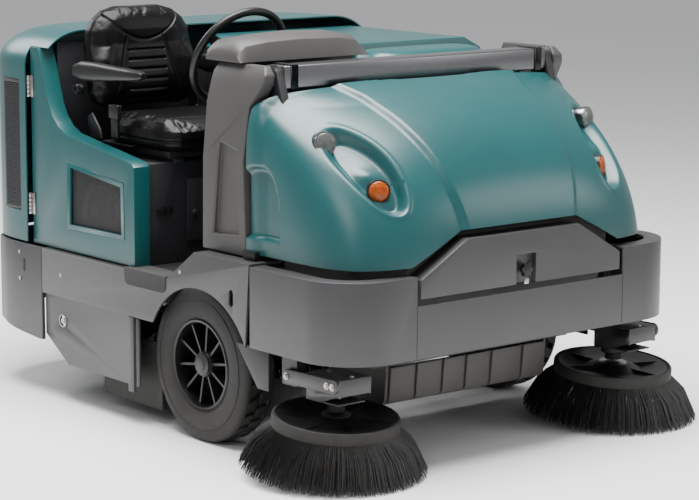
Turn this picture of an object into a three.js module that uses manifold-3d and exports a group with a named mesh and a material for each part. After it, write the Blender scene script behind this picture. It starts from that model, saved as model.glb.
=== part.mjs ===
// Ride-on floor sweeper with a lifting front hopper, two side brushes and a cylindrical main brush.
// Frame: +Z up, the machine drives towards -Y, its right-hand side is -X. Units are millimetres.
// The origin is on the floor, under the middle of the machine.
import * as THREE from "three";
import { mergeVertices } from "three/addons/utils/BufferGeometryUtils.js";
import Module from "manifold-3d";

const wasm = await Module();
wasm.setup();

// ---------------------------------------------------------------- driving dimensions
const HALF_WIDTH = 785; // outside of the steel skirts
const REAR_END = 1195; // rear bumper
const SKIRT = { top: 565, ridge: 396, plate: 8 };
const FENDER = { top: 680, front: -592, flat: -282, rampEnd: -120, archY: -300, archZ: 248, archR: 308 };
const BUMPER = { front: -1085, corner: 200, bottom: 400, top: 673, wall: 8, flange: 62, rear: -596 };
const RECESS = { half: 473, bottom: 577 }; // lowered middle of the front bumper
const FRONT_WHEEL = { y: -240, radius: 273, inner: 600, outer: 740, rim: 161, bore: 25.6, axle: 25 };
const REAR_WHEEL = { y: 850, radius: 229, width: 130, rim: 140 };
const MAIN_BRUSH = { y: 360, z: 182, radius: 178, half: 620, pivotY: 600, pivotZ: 376 };
const SIDE_BRUSH = { x: 645, y: -880, disc: 213, tips: 315, tipZ: 27, discZ: 205, tilt: Math.PI / 36 };
const SIDE_LINK = { rearY: -745, rearZ: 325, frontY: -985, frontZ: 330, x: 735, plate: 12 };
const LIFT = { pivotY: -505, pivotZ: 1275, hopperY: -930, hopperZ: 720, x: 600, plate: 30 };
const COVER = { half: 728, depth: 580, rearY: -503, bottom: 700, height: 575, wall: 9 };
const TUB = { half: 455, keel: 372, wings: 580, wall: 10 };
const HEAD_LAMP = { at: [-604, -775, 1088], radius: 38, depth: 34, yaw: 0.75 };
const TURN_LAMP = { at: [-516, -940, 940], radius: 34, depth: 34, yaw: 0.5 };
const PANEL = { half: 458, bottom: 597, shoulder: 660, topHalf: 254, top: 778, back: -1017, recess: -1061 };
const SEAT = { x: -425, half: 245, front: 30, back: 520, top: 1476 };
const WHEEL = { x: -420, y: -50, z: 1310, radius: 200, rim: 15, tilt: (62 * Math.PI) / 180 };
const DOOR = { outer: -765, inner: -697, front: 105, rear: 775, bottom: 571 };
const BODY = { bottom: 575, top: 1325, sideY: 663, frontY: -420, innerX: -90 };

// ---------------------------------------------------------------- materials
const paint = (color, roughness, metalness = 0) =>
  new THREE.MeshStandardMaterial({ color, roughness, metalness });
const TEAL = paint(0x2b7f80, 0.42);
const GREY_STEEL = paint(0x68676a, 0.45, 0.2);
const GREY_PLASTIC = paint(0x6f6e6c, 0.6);
const DARK_STEEL = paint(0x2e2d31, 0.55, 0.2);
const BLACK_PLASTIC = paint(0x1c1b1c, 0.5);
const VINYL = paint(0x161415, 0.4);
const RUBBER = paint(0x2c2a28, 0.85);
const BRISTLE = paint(0x252322, 0.8);
const TUB_PLASTIC = paint(0x8a8781, 0.65);
const BRIGHT_STEEL = paint(0xb9b7b4, 0.25, 0.9);
const IRON = paint(0x4b4a4a, 0.6, 0.5);
const CLEAR_LENS = paint(0xd6d8d2, 0.1);
const AMBER_LENS = paint(0xd8791a, 0.15);
const FILTER_PAPER = paint(0xcfc8b4, 0.9);

// ---------------------------------------------------------------- helpers
const sweeper = new THREE.Group();

function add(name, geometry, material, place = [0, 0, 0], parent = sweeper) {
  const mesh = new THREE.Mesh(geometry, material);
  mesh.name = name;
  mesh.position.set(...place);
  parent.add(mesh);
  return mesh;
}

// The same shape on the machine's other side.
function mirrored(name, mesh) {
  const copy = new THREE.Mesh(mesh.geometry, mesh.material);
  copy.name = name;
  copy.position.set(-mesh.position.x, mesh.position.y, mesh.position.z);
  copy.scale.x = -1;
  mesh.parent.add(copy);
  return copy;
}

// Keeps only positions, joins equal vertices and drops triangles without area.
function welded(geometry) {
  const bare = new THREE.BufferGeometry();
  bare.setAttribute("position", geometry.getAttribute("position"));
  bare.setIndex(geometry.index);
  const merged = mergeVertices(bare, 1e-3);
  const index = merged.index.array;
  const kept = [];
  for (let i = 0; i < index.length; i += 3) {
    const [a, b, c] = [index[i], index[i + 1], index[i + 2]];
    if (a !== b && b !== c && c !== a) kept.push(a, b, c);
  }
  merged.setIndex(kept);
  return merged;
}

function solid(geometry) {
  const closed = welded(geometry);
  return new wasm.Manifold(
    new wasm.Mesh({
      numProp: 3,
      vertProperties: closed.getAttribute("position").array,
      triVerts: new Uint32Array(closed.index.array),
    }),
  );
}

function geometryOf(manifold) {
  const mesh = manifold.getMesh();
  const geometry = new THREE.BufferGeometry();
  geometry.setAttribute("position", new THREE.BufferAttribute(mesh.vertProperties, 3));
  geometry.setIndex(new THREE.BufferAttribute(mesh.triVerts, 1));
  return geometry;
}

const join = (...shapes) => geometryOf(shapes.map(solid).reduce((a, b) => a.add(b)));
const cut = (shape, ...tools) =>
  geometryOf(tools.map(solid).reduce((left, tool) => left.subtract(tool), solid(shape)));
const common = (a, b) => geometryOf(solid(a).intersect(solid(b)));

function box(x0, x1, y0, y1, z0, z1) {
  return new THREE.BoxGeometry(x1 - x0, y1 - y0, z1 - z0).translate(
    (x0 + x1) / 2,
    (y0 + y1) / 2,
    (z0 + z1) / 2,
  );
}

const outline = (points) => new THREE.Shape(points.map(([u, v]) => new THREE.Vector2(u, v)));
const plainExtrude = (shape, depth, curveSegments) =>
  new THREE.ExtrudeGeometry(shape, { depth, bevelEnabled: false, curveSegments });
const axes = {
  x: new THREE.Vector3(1, 0, 0),
  y: new THREE.Vector3(0, 1, 0),
  z: new THREE.Vector3(0, 0, 1),
};

// A (y, z) outline from x0 to x1.
function slabX(shape, x0, x1, curveSegments = 8) {
  const turn = new THREE.Matrix4().makeBasis(axes.y, axes.z, axes.x);
  return plainExtrude(shape, x1 - x0, curveSegments).applyMatrix4(turn).translate(x0, 0, 0);
}

// An (x, z) outline from y0 to y1.
function slabY(shape, y0, y1, curveSegments = 8) {
  const turn = new THREE.Matrix4().makeBasis(axes.x, axes.z, axes.y.clone().negate());
  return plainExtrude(shape, y1 - y0, curveSegments).applyMatrix4(turn).translate(0, y1, 0);
}

// An (x, y) outline from z0 to z1.
const slabZ = (shape, z0, z1, curveSegments = 8) =>
  plainExtrude(shape, z1 - z0, curveSegments).translate(0, 0, z0);

function rod(radius, from, to, segments = 16) {
  const a = new THREE.Vector3(...from);
  const b = new THREE.Vector3(...to);
  const along = b.clone().sub(a);
  const geometry = new THREE.CylinderGeometry(radius, radius, along.length(), segments);
  geometry.applyQuaternion(new THREE.Quaternion().setFromUnitVectors(axes.y, along.normalize()));
  return geometry.translate(...a.add(b).multiplyScalar(0.5).toArray());
}

// A closed (radius, height) profile turned about X.
function turnedX(profile, segments) {
  const points = [...profile, profile[0]].map(([r, h]) => new THREE.Vector2(r, h));
  return welded(new THREE.LatheGeometry(points, segments).rotateZ(-Math.PI / 2));
}

// A (radius, height) profile that starts and ends on the axis, turned about Z.
function turnedZ(profile, segments) {
  const points = profile.map(([r, h]) => new THREE.Vector2(r, h));
  return welded(new THREE.LatheGeometry(points, segments).rotateX(Math.PI / 2));
}

// A closed skin through rings of the same number of points, each ring counter-clockwise seen from the last.
function loft(rings) {
  const n = rings[0].length;
  const middle = (ring) =>
    ring.reduce((sum, p) => [sum[0] + p[0] / n, sum[1] + p[1] / n, sum[2] + p[2] / n], [0, 0, 0]);
  const points = [...rings.flat(), middle(rings[0]), middle(rings.at(-1))];
  const [first, last] = [points.length - 2, points.length - 1];
  const base = (rings.length - 1) * n;
  const index = [];
  for (let i = 0; i < n; i++) {
    const j = (i + 1) % n;
    for (let r = 0; r < rings.length - 1; r++) {
      const [a, b, c, d] = [r * n + i, r * n + j, (r + 1) * n + j, (r + 1) * n + i];
      index.push(a, b, c, a, c, d);
    }
    index.push(first, j, i, last, base + i, base + j);
  }
  const geometry = new THREE.BufferGeometry();
  geometry.setAttribute("position", new THREE.Float32BufferAttribute(points.flat(), 3));
  geometry.setIndex(index);
  return welded(geometry);
}

const rectRing = (x0, x1, y0, y1, z) => [
  [x0, y0, z],
  [x1, y0, z],
  [x1, y1, z],
  [x0, y1, z],
];

// A level superellipse: half sizes a along X and b along Y, squarer as power grows.
function ovalRing(x, y, z, a, b, power, count) {
  return Array.from({ length: count }, (_, i) => {
    const angle = (2 * Math.PI * i) / count;
    const [c, s] = [Math.cos(angle), Math.sin(angle)];
    const scale = (Math.abs(c) ** power + Math.abs(s) ** power) ** (-1 / power);
    return [x + a * c * scale, y + b * s * scale, z];
  });
}

// ---------------------------------------------------------------- frame, skirts and bumpers
function mainFrame() {
  const side = (s) => {
    const bx = (x0, x1, ...rest) => (s > 0 ? box(x0, x1, ...rest) : box(-x1, -x0, ...rest));
    return [
      bx(500, 560, -500, 1100, 400, 470), // rail
      bx(500, 560, -500, -430, 460, 620), // riser to the front cross beam
      bx(690, 770, -870, -440, 560, 620), // bumper carrier
      bx(690, 730, -780, -700, 290, 570), // side brush hanger
      bx(530, 560, FRONT_WHEEL.y - 50, FRONT_WHEEL.y + 50, 230, 410), // axle hanger
      rod(FRONT_WHEEL.axle, [s * 540, FRONT_WHEEL.y, FRONT_WHEEL.radius], [s * 735, FRONT_WHEEL.y, FRONT_WHEEL.radius], 24),
      bx(500, 560, 780, 920, 460, 580), // riser to the steering beam
    ];
  };
  return join(
    ...side(1),
    ...side(-1),
    box(-770, 770, -500, -430, 560, 620),
    box(-560, 560, 1090, 1140, 400, 470),
    box(-560, 560, 780, 920, 520, 580),
    box(-560, 560, 630, 685, 400, 470),
  );
}

// The bumper's plan, grown inwards by inset, open at the rear.
function bumperPlan(inset) {
  const x = HALF_WIDTH - inset;
  const y = BUMPER.front + inset;
  const r = BUMPER.corner - inset;
  const shape = new THREE.Shape();
  const rear = BUMPER.rear + (inset > 0 ? 40 : 0);
  shape.moveTo(x, rear);
  shape.lineTo(-x, rear);
  shape.absarc(-x + r, y + r, r, Math.PI, 1.5 * Math.PI, false);
  shape.absarc(x - r, y + r, r, 1.5 * Math.PI, 2 * Math.PI, false);
  shape.lineTo(x, rear);
  return shape;
}

function frontBumper() {
  return cut(
    slabZ(bumperPlan(0), BUMPER.bottom, BUMPER.top),
    slabZ(bumperPlan(BUMPER.wall), BUMPER.bottom - 20, BUMPER.top - BUMPER.wall),
    slabZ(bumperPlan(BUMPER.flange), BUMPER.bottom - 20, BUMPER.top + 20),
    box(-RECESS.half, RECESS.half, BUMPER.front - 20, -900, RECESS.bottom, BUMPER.top + 20),
  );
}

function rightFender() {
  const shape = new THREE.Shape();
  const foot = Math.asin((SKIRT.ridge - FENDER.archZ) / FENDER.archR);
  shape.moveTo(FENDER.front, SKIRT.ridge);
  shape.absarc(FENDER.archY, FENDER.archZ, FENDER.archR, Math.PI - foot, foot, true);
  shape.lineTo(690, SKIRT.ridge);
  shape.lineTo(690, SKIRT.top);
  shape.lineTo(FENDER.rampEnd, SKIRT.top);
  shape.lineTo(FENDER.flat, FENDER.top);
  shape.lineTo(FENDER.front, FENDER.top);
  const slot = new THREE.Shape();
  slot.absarc(-492, 568, 12, 0, Math.PI, false);
  slot.absarc(-492, 534, 12, Math.PI, 2 * Math.PI, false);
  const plate = cut(
    slabX(shape, -HALF_WIDTH, -HALF_WIDTH + SKIRT.plate, 9),
    slabX(slot, -HALF_WIDTH - 10, -HALF_WIDTH + 20, 4),
  );
  const top = box(-HALF_WIDTH, -642, FENDER.front, FENDER.flat, FENDER.top - SKIRT.plate, FENDER.top);
  const ledge = box(-HALF_WIDTH, -700, FENDER.rampEnd, 690, SKIRT.top - SKIRT.plate, SKIRT.top);
  return join(plate, top, ledge);
}

function rearBumper() {
  const ring = (inset, z) =>
    ovalRing(0, 700, z, HALF_WIDTH - inset, REAR_END - 700 - inset, 4.5, 40);
  const outer = loft([ring(0, 215), ring(0, SKIRT.top)]);
  const inner = loft([ring(14, 200), ring(14, SKIRT.top + 10)]);
  const front = box(-900, 900, 0, 694, 100, 700);
  const rising = slabX(outline([[600, 100], [1300, 100], [1300, 285], [900, 228], [600, 205]]), -900, 900);
  return cut(outer, inner, front, rising);
}

// ---------------------------------------------------------------- body shells
function rearHood() {
  const ring = (inset, z, shrink) =>
    ovalRing(0, 665, z, 783 - inset - shrink, 522 - inset - shrink, 4.5, 36);
  const skin = (inset) =>
    loft([
      ring(inset, BODY.bottom - (inset ? 20 : 0), 0),
      ring(inset, 1235 - inset, 0),
      ring(inset, 1300 - inset, 22),
      ring(inset, 1345 - inset, 80),
      ring(inset, 1368 - inset, 190),
    ]);
  return cut(
    skin(0),
    skin(8),
    box(-900, 900, 0, 672, 500, 1500),
    box(-900, -690, 600, 790, 500, 1500),
    box(-900, -740, 830, 952, 688, 1182),
  );
}

function leftBodyCover() {
  const { bottom, top, sideY, frontY, innerX } = BODY;
  const shell = (inset, y0, y1, height, foot, outerX) => {
    const [a, b] = [innerX + inset, outerX - inset];
    const z = height - inset;
    const low = inset ? foot - 20 : foot;
    const points = [[a, low], [b, low], [b, z - 95], [b - 30, z - 40], [b - 110, z], [a + 60, z], [a, z - 40]];
    return slabY(outline(points), y0, y1);
  };
  const outer = join(
    shell(0, -30, sideY, top, bottom, 783),
    shell(0, -244, -30, 1270, 690, 783),
    shell(0, frontY, -200, 1270, 690, 630),
  );
  return cut(
    outer,
    shell(8, -22, sideY - 8, top, bottom, 783),
    shell(8, -236, -10, 1270, 690, 783),
    shell(8, frontY - 20, -190, 1270, 690, 630),
  );
}

function seatBox() {
  const shell = cut(box(-688, -97, 120, 655, 567, 930), box(-680, -107, 130, 670, 540, 922));
  const rails = [-560, -280].map((x) => box(x - 20, x + 20, 110, 520, 925, 942));
  return join(shell, ...rails);
}

const DOOR_OUTLINE = [
  [DOOR.front, DOOR.bottom],
  [DOOR.rear, DOOR.bottom],
  [DOOR.rear, 1305],
  [722, 1305],
  [672, 1165],
  [640, 1085],
  [600, 1030],
  [540, 1000],
  [DOOR.front + 60, 948],
  [DOOR.front, 925],
];
const WINDOW_OUTLINE = [[185, 676], [520, 672], [515, 882], [188, 846]];

// Moves each corner of a (y, z) outline towards the outline's middle.
function shrunk(points, inset) {
  const shape = [...points];
  const n = shape.length;
  const area = shape.reduce((sum, [a, b], i) => {
    const [c, d] = shape[(i + 1) % n];
    return sum + a * d - c * b;
  }, 0);
  const side = Math.sign(area);
  return shape.map(([u, v], i) => {
    const [pu, pv] = shape[(i + n - 1) % n];
    const [nu, nv] = shape[(i + 1) % n];
    const before = new THREE.Vector2(u - pu, v - pv).normalize();
    const after = new THREE.Vector2(nu - u, nv - v).normalize();
    const normal = new THREE.Vector2(-before.y - after.y, before.x + after.x);
    const reach = (2 * side * inset) / normal.lengthSq();
    return [u + normal.x * reach, v + normal.y * reach];
  });
}

function rightDoor() {
  const tray = cut(
    slabX(outline(DOOR_OUTLINE), DOOR.outer, DOOR.inner),
    slabX(outline(shrunk(DOOR_OUTLINE, 9)), DOOR.outer + 9, DOOR.inner + 20),
  );
  return cut(tray, slabX(outline(WINDOW_OUTLINE), DOOR.outer - 10, DOOR.outer + 20));
}

function rightColumn() {
  const body = loft([
    rectRing(-726, -640, -498, -248, 686),
    rectRing(-724, -640, -480, -250, 1000),
    rectRing(-708, -640, -493, -252, 1190),
    rectRing(-692, -640, -545, -256, 1262),
    rectRing(-684, -640, -552, -262, 1295),
    rectRing(-668, -642, -530, -275, 1324),
  ]);
  const grip = outline([[-455, 752], [-312, 742], [-345, 1062], [-440, 1040]]);
  const pivot = rod(20, [-650, LIFT.pivotY, LIFT.pivotZ], [-603, LIFT.pivotY, LIFT.pivotZ], 20);
  return join(cut(body, slabX(grip, -740, -708)), pivot);
}

function dashCowl() {
  const ring = (x, low, high) => [
    [x, -425, 1328],
    [x, -212, 1328],
    [x, -222, low],
    [x, -300, high],
    [x, -395, low],
  ];
  return loft([
    ring(-690, 1352, 1362),
    ring(-650, 1392, 1404),
    ring(-420, 1404, 1418),
    ring(-190, 1398, 1412),
    ring(-128, 1350, 1362),
  ]);
}

// ---------------------------------------------------------------- hopper
function liftArm() {
  const { pivotY, pivotZ, hopperY, hopperZ, x, plate } = LIFT;
  const along = Math.atan2(hopperZ - pivotZ, hopperY - pivotY);
  const across = along + Math.PI / 2;
  const shape = new THREE.Shape();
  const rootR = 46;
  const tipR = 34;
  const bow = 130;
  const middle = [(pivotY + hopperY) / 2 + bow * Math.cos(across), (pivotZ + hopperZ) / 2 + bow * Math.sin(across)];
  const edge = (r, sign, at) => [at[0] + sign * r * Math.cos(across), at[1] + sign * r * Math.sin(across)];
  shape.absarc(pivotY, pivotZ, rootR, across, across + Math.PI, false);
  const below = edge(38, -1, middle);
  shape.quadraticCurveTo(below[0], below[1], ...edge(tipR, -1, [hopperY, hopperZ]));
  shape.absarc(hopperY, hopperZ, tipR, across + Math.PI, across + 2 * Math.PI, false);
  const above = edge(38, 1, middle);
  shape.quadraticCurveTo(above[0], above[1], ...edge(rootR, 1, [pivotY, pivotZ]));
  const pin = rod(18, [-x - 20, hopperY, hopperZ], [-TUB.half + 6, hopperY, hopperZ], 20);
  const bored = cut(
    slabX(shape, -x - plate, -x, 6),
    rod(20.7, [-x - 40, pivotY, pivotZ], [-x + 10, pivotY, pivotZ], 20),
  );
  return join(bored, pin);
}

function hopperTub() {
  const { half, keel, wings, wall } = TUB;
  const front = [[-944, 500], [-1000, 592], [-1015, 640], [-1015, 760], [-950, 900], [-870, 1040]];
  const upper = [[-520, 322], [-830, 322], [-876, 400], ...front, [-560, 1040], [-520, 1000]];
  const foot = [[-520, 178], [-786, 178], [-802, 196], [-812, 322], [-876, 400], [-520, 400]];
  const rear = [[-520, 345], [-738, 345], [-738, 990], [-520, 990]];
  const hollow = (points, reach) =>
    slabX(outline(shrunk(points, wall)), -reach + wall, reach - wall);
  const posts = [-1, 1].map((s) => box(s * 320 - 20, s * 320 + 20, -600, -562, 1030, 1222));
  const outside = join(
    slabX(outline(upper), -half, half),
    slabX(outline(foot), -keel, keel),
    slabX(outline(rear), -wings, wings),
    ...posts,
  );
  return cut(
    outside,
    hollow(upper, half),
    hollow(foot, keel),
    hollow(rear, wings),
    rod(18.7, [-half - 10, LIFT.hopperY, LIFT.hopperZ], [half + 10, LIFT.hopperY, LIFT.hopperZ], 20),
    box(-440, 440, -560, -500, 335, 760), // inlet behind the brush chamber
    box(10 - keel, keel - 10, -560, -500, 188, 345),
    box(10 - keel, keel - 10, -820, -530, 310, 412), // keel opens into the hopper
    box(9 - half, half - 9, -728, -530, 360, 980), // wings open into the hopper
  );
}

// Half depth and half width of the hopper cover at a height above its bottom edge, as a share of its height.
const coverDepth = (t) => (1 - t ** 2.3) ** 0.62;
const coverWidth = (t) => (1 - t ** 8) ** (1 / 8);
const coverPower = (t) => Math.max(1.9, 5.4 - 4 * t); // squarer towards the bottom edge

function coverSkin(inset) {
  const levels = [-0.12, 0, 0.3, 0.55, 0.72, 0.84, 0.93, 0.992];
  return loft(
    levels.map((level) => {
      const t = Math.max(level, 0);
      return ovalRing(
        0,
        COVER.rearY,
        COVER.bottom + level * (COVER.height - inset),
        (COVER.half - inset) * coverWidth(t),
        (COVER.depth - inset) * coverDepth(t),
        coverPower(t),
        32,
      );
    }),
  );
}

// A rod along a lamp's own axis, between two distances from the lamp's middle.
function lampRod({ at, yaw }, side, radius, from, to) {
  const point = (d) => [side * (-at[0] + d * Math.sin(yaw)), at[1] - d * Math.cos(yaw), at[2]];
  return rod(radius, point(from), point(to), 12);
}

function hopperCover() {
  const lamps = [HEAD_LAMP, TURN_LAMP].flatMap((lamp) => [-1, 1].map((side) => [lamp, side]));
  const cups = lamps.map(([lamp, side]) =>
    common(lampRod(lamp, side, lamp.radius + 14, -26, 140), coverSkin(0)),
  );
  const bores = lamps.map(([lamp, side]) => lampRod(lamp, side, lamp.radius + 6, -18, 160));
  const notch = [[-500, 600], [500, 600], [500, 701], [266, 812], [-266, 812], [-500, 701]];
  const shell = cut(
    coverSkin(0),
    coverSkin(COVER.wall),
    box(-900, 900, COVER.rearY, 200, 500, 1400),
    slabX(outline([[COVER.rearY, 1190], [-628, 1290], [-628, 1400], [200, 1400], [200, 1190]]), -900, 900),
    box(-662, -562, -665, 200, 1100, 1400), // room for the lift arms
    box(562, 662, -665, 200, 1100, 1400),
    box(-900, 900, -1200, 200, 500, COVER.bottom),
    slabY(outline(notch), -1200, -900),
  );
  return cut(join(shell, ...cups), ...bores);
}

function frontPanel() {
  const { half, bottom, shoulder, topHalf, top, back, recess } = PANEL;
  const shape = outline([[-half, bottom], [half, bottom], [half, shoulder], [topHalf, top], [-topHalf, top], [-half, shoulder]]);
  return cut(slabY(shape, BUMPER.front, back), box(-35, 55, BUMPER.front - 10, recess, bottom - 10, 700));
}

function latchKnob() {
  const lobes = Array.from({ length: 12 }, (_, i) => {
    const r = i % 2 ? 20 : 25;
    return [r * Math.cos((i * Math.PI) / 6), r * Math.sin((i * Math.PI) / 6)];
  });
  return join(slabY(outline(lobes), -16, 6), rod(7, [0, 0, 0], [0, 13, 0], 12));
}

// ---------------------------------------------------------------- wheels
const tyreProfile = (radius, rim, half) => [
  [rim + 2, -half + 8],
  [radius * 0.82, -half],
  [radius - 12, -half + 4],
  [radius, -half + 18],
  [radius, half - 18],
  [radius - 12, half - 4],
  [radius * 0.82, half],
  [rim + 2, half - 8],
];

function wheelRim(rim, half, bore) {
  const barrel = turnedX([[rim - 12, -half], [rim, -half], [rim, half], [rim - 12, half]], 32);
  const hub = turnedX([[bore, -half], [44, -half], [44, half - 8], [bore, half - 8]], 24);
  const spokes = Array.from({ length: 10 }, (_, i) =>
    box(-half + 10, half - 30, -5, 5, 40, rim - 6).rotateX((i * Math.PI) / 5),
  );
  return join(barrel, hub, ...spokes);
}

function steerYoke() {
  const { radius } = REAR_WHEEL;
  const cheek = (x) => box(x - 8, x + 8, -60, 60, radius - 40, 500);
  return join(
    cheek(-86),
    cheek(86),
    box(-94, 94, -80, 80, 480, 515),
    rod(18, [-90, 0, radius], [90, 0, radius], 20),
  );
}

// ---------------------------------------------------------------- brushes
function mainBrushRoll() {
  const { radius, half } = MAIN_BRUSH;
  return turnedX([[22, -half], [radius, -half], [radius, half], [22, half]], 32);
}

function mainBrushArm() {
  const { y, z, pivotY, pivotZ, half } = MAIN_BRUSH;
  const plate = outline([[pivotY + 25, pivotZ], [pivotY, pivotZ + 25], [y - 25, z + 25], [y - 25, z - 25], [y + 25, z - 25], [pivotY, pivotZ - 30]]);
  const side = (s) => [
    slabX(plate, s > 0 ? half + 6 : -half - 18, s > 0 ? half + 18 : -half - 6),
    rod(20, [s * (half - 60), y, z], [s * (half + 10), y, z], 24),
  ];
  return join(...side(1), ...side(-1), rod(20, [-half - 10, pivotY, pivotZ], [half + 10, pivotY, pivotZ], 16));
}

function sideBrush() {
  const { disc, tips, tipZ, discZ, tilt } = SIDE_BRUSH;
  const drop = tipZ - discZ;
  return turnedZ(
    [
      [0, -55],
      [150, -55],
      [tips - 45, drop],
      [tips, drop + 6],
      [tips - 6, drop + 30],
      [disc - 8, -42],
      [disc, -40],
      [disc, -6],
      [disc - 8, 0],
      [60, 4],
      [40, 8],
      [0, 8],
    ],
    32,
  ).rotateX(tilt);
}

function sideLink() {
  const { rearY, rearZ, frontY, frontZ, x, plate } = SIDE_LINK;
  const shape = new THREE.Shape();
  shape.absarc(rearY, rearZ, 20, -Math.PI / 2, Math.PI / 2, false);
  shape.absarc(frontY, frontZ, 20, Math.PI / 2, 1.5 * Math.PI, false);
  const pin = (y, z) => rod(9, [-x - plate + 2, y, z], [-x + 1, y, z], 12);
  return join(slabX(shape, -x - plate, -x, 5), pin(rearY, rearZ), pin(frontY, frontZ));
}

function sideHead() {
  const { frontY } = SIDE_LINK;
  const { x, y, discZ } = SIDE_BRUSH;
  const arm = box(-731, -x + 45, frontY - 22, frontY + 60, 290, 352);
  const carrier = box(-731, -x + 45, frontY, y + 55, 262, 296);
  const motor = rod(44, [-x, y, discZ + 14], [-x, y, 350], 20);
  return join(arm, carrier, motor);
}

function brushDoor() {
  const shape = outline([[85, 145], [529, 145], [682, 242], [682, 394], [85, 394]]);
  const hole = new THREE.Path();
  hole.absarc(562, 306, 20, 0, 2 * Math.PI, false);
  shape.holes.push(hole);
  const strap = box(-786, -775, 88, 122, 122, 394);
  const knuckle = rod(8, [-776, 70, 146], [-776, 70, 392], 10);
  const leaf = box(-775, -769, 70, 90, 148, 390);
  return join(slabX(shape, -776, -769), strap, leaf, knuckle);
}

// ---------------------------------------------------------------- operator's place
function steeringWheel() {
  const { radius, rim } = WHEEL;
  const ring = new THREE.TorusGeometry(radius - rim, rim, 8, 28);
  const spokes = [90, 210, 330].map((degrees) =>
    box(34, radius - rim, -12, 12, -14, -4).rotateZ((degrees * Math.PI) / 180),
  );
  return join(ring, ...spokes, rod(42, [0, 0, -34], [0, 0, -10], 20));
}

const cushionRing = (z, half, y0, y1, power) =>
  ovalRing(SEAT.x, (y0 + y1) / 2, z, half, (y1 - y0) / 2, power, 20);

function seatCushion() {
  const { half, front, back } = SEAT;
  return loft([
    cushionRing(968, half - 25, front + 25, back - 10, 5),
    cushionRing(1005, half, front, back, 5),
    cushionRing(1058, half - 2, front + 4, back, 5),
    cushionRing(1082, half - 40, front + 45, back - 30, 4),
  ]);
}

function seatBack() {
  const at = (z, half, y, depth) => ovalRing(SEAT.x, y, z, half, depth, 3.2, 20);
  return loft([
    at(1090, 200, 562, 45),
    at(1135, 237, 560, 58),
    at(1260, SEAT.half, 566, 60),
    at(1370, 238, 578, 54),
    at(1425, 205, 586, 44),
    at(1458, 150, 592, 32),
    at(SEAT.top, 70, 595, 16),
  ]);
}

function armrest(x) {
  const shape = outline([[130, 1232], [160, 1218], [440, 1208], [560, 1200], [572, 1235], [555, 1262], [420, 1262], [150, 1252]]);
  return slabX(shape, x - 24, x + 24);
}

function pedal(width) {
  return slabX(outline([[-50, 571], [-40, 577], [-228, 675], [-236, 667]]), -width / 2, width / 2);
}

// ---------------------------------------------------------------- assembly
function buildChassis() {
  add("main_frame", mainFrame(), DARK_STEEL);
  add("front_bumper", frontBumper(), GREY_STEEL);
  const fender = add("right_fender", rightFender(), GREY_STEEL);
  mirrored("left_fender", fender);
  add("rear_bumper", rearBumper(), GREY_STEEL);
  add("operator_floor", box(-698, -94, -298, 660, 551, 565), DARK_STEEL);
  add("seat_box", seatBox(), DARK_STEEL);
  const column = add("right_column", rightColumn(), GREY_PLASTIC);
  mirrored("left_column", column);
  add("dash_cowl", dashCowl(), GREY_PLASTIC);
  const bracket = [-470, -385].map((x) => box(x, x + 15, -288, -236, 1150, 1222));
  add("dash_panel", join(box(-638, -100, -300, -286, 567, 1325), ...bracket), BLACK_PLASTIC);
  add("left_body_cover", leftBodyCover(), TEAL);
  add("rear_hood", rearHood(), TEAL);
  add("right_grille", box(-774, -766, 831, 951, 689, 1181), DARK_STEEL);
  add("engine_block", box(60, 420, 60, 480, 600, 960), IRON);
  add("radiator", box(-420, 420, 900, 990, 620, 1180), DARK_STEEL);
  add("hydraulic_tank", box(470, 740, 60, 460, 600, 950), DARK_STEEL);
}

function buildDoors() {
  add("right_door", rightDoor(), TEAL);
  add("right_door_screen", slabX(outline(shrunk(WINDOW_OUTLINE, -14)), DOOR.outer + 9.5, DOOR.outer + 13), DARK_STEEL);
  const door = add("right_brush_door", brushDoor(), GREY_STEEL);
  mirrored("left_brush_door", door);
  add("seat_box_door", join(box(-530, -300, 109, 116, 640, 865), rod(9, [-500, 98, 744], [-500, 112, 744], 12)), DARK_STEEL);
}

function buildHopper() {
  const arm = add("right_lift_arm", liftArm(), DARK_STEEL);
  mirrored("left_lift_arm", arm);
  const { pivotY, pivotZ, x } = LIFT;
  add("torque_beam", box(-x + 0.5, x - 0.5, pivotY - 45, pivotY + 45, pivotZ - 30, pivotZ + 48), BRIGHT_STEEL);
  add("hopper_tub", hopperTub(), TUB_PLASTIC);
  add("hopper_front_panel", frontPanel(), GREY_STEEL);
  add("dust_filter", box(-400, 400, -760, -612, 1042, 1130), FILTER_PAPER);
  add("hopper_cover", hopperCover(), TEAL);
  add("cover_latch_knob", latchKnob(), BLACK_PLASTIC, [10, -1078, 645]);
}

function buildLamps() {
  const lamps = [
    ["head_lamp", HEAD_LAMP, CLEAR_LENS],
    ["turn_lamp", TURN_LAMP, AMBER_LENS],
  ];
  for (const [name, { at, radius, depth, yaw }, material] of lamps) {
    const lens = new THREE.CylinderGeometry(radius, radius * 0.8, depth, 16);
    const lamp = add(`right_${name}`, lens.rotateX(Math.PI).rotateZ(-yaw), material, at);
    mirrored(`left_${name}`, lamp);
  }
}

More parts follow.
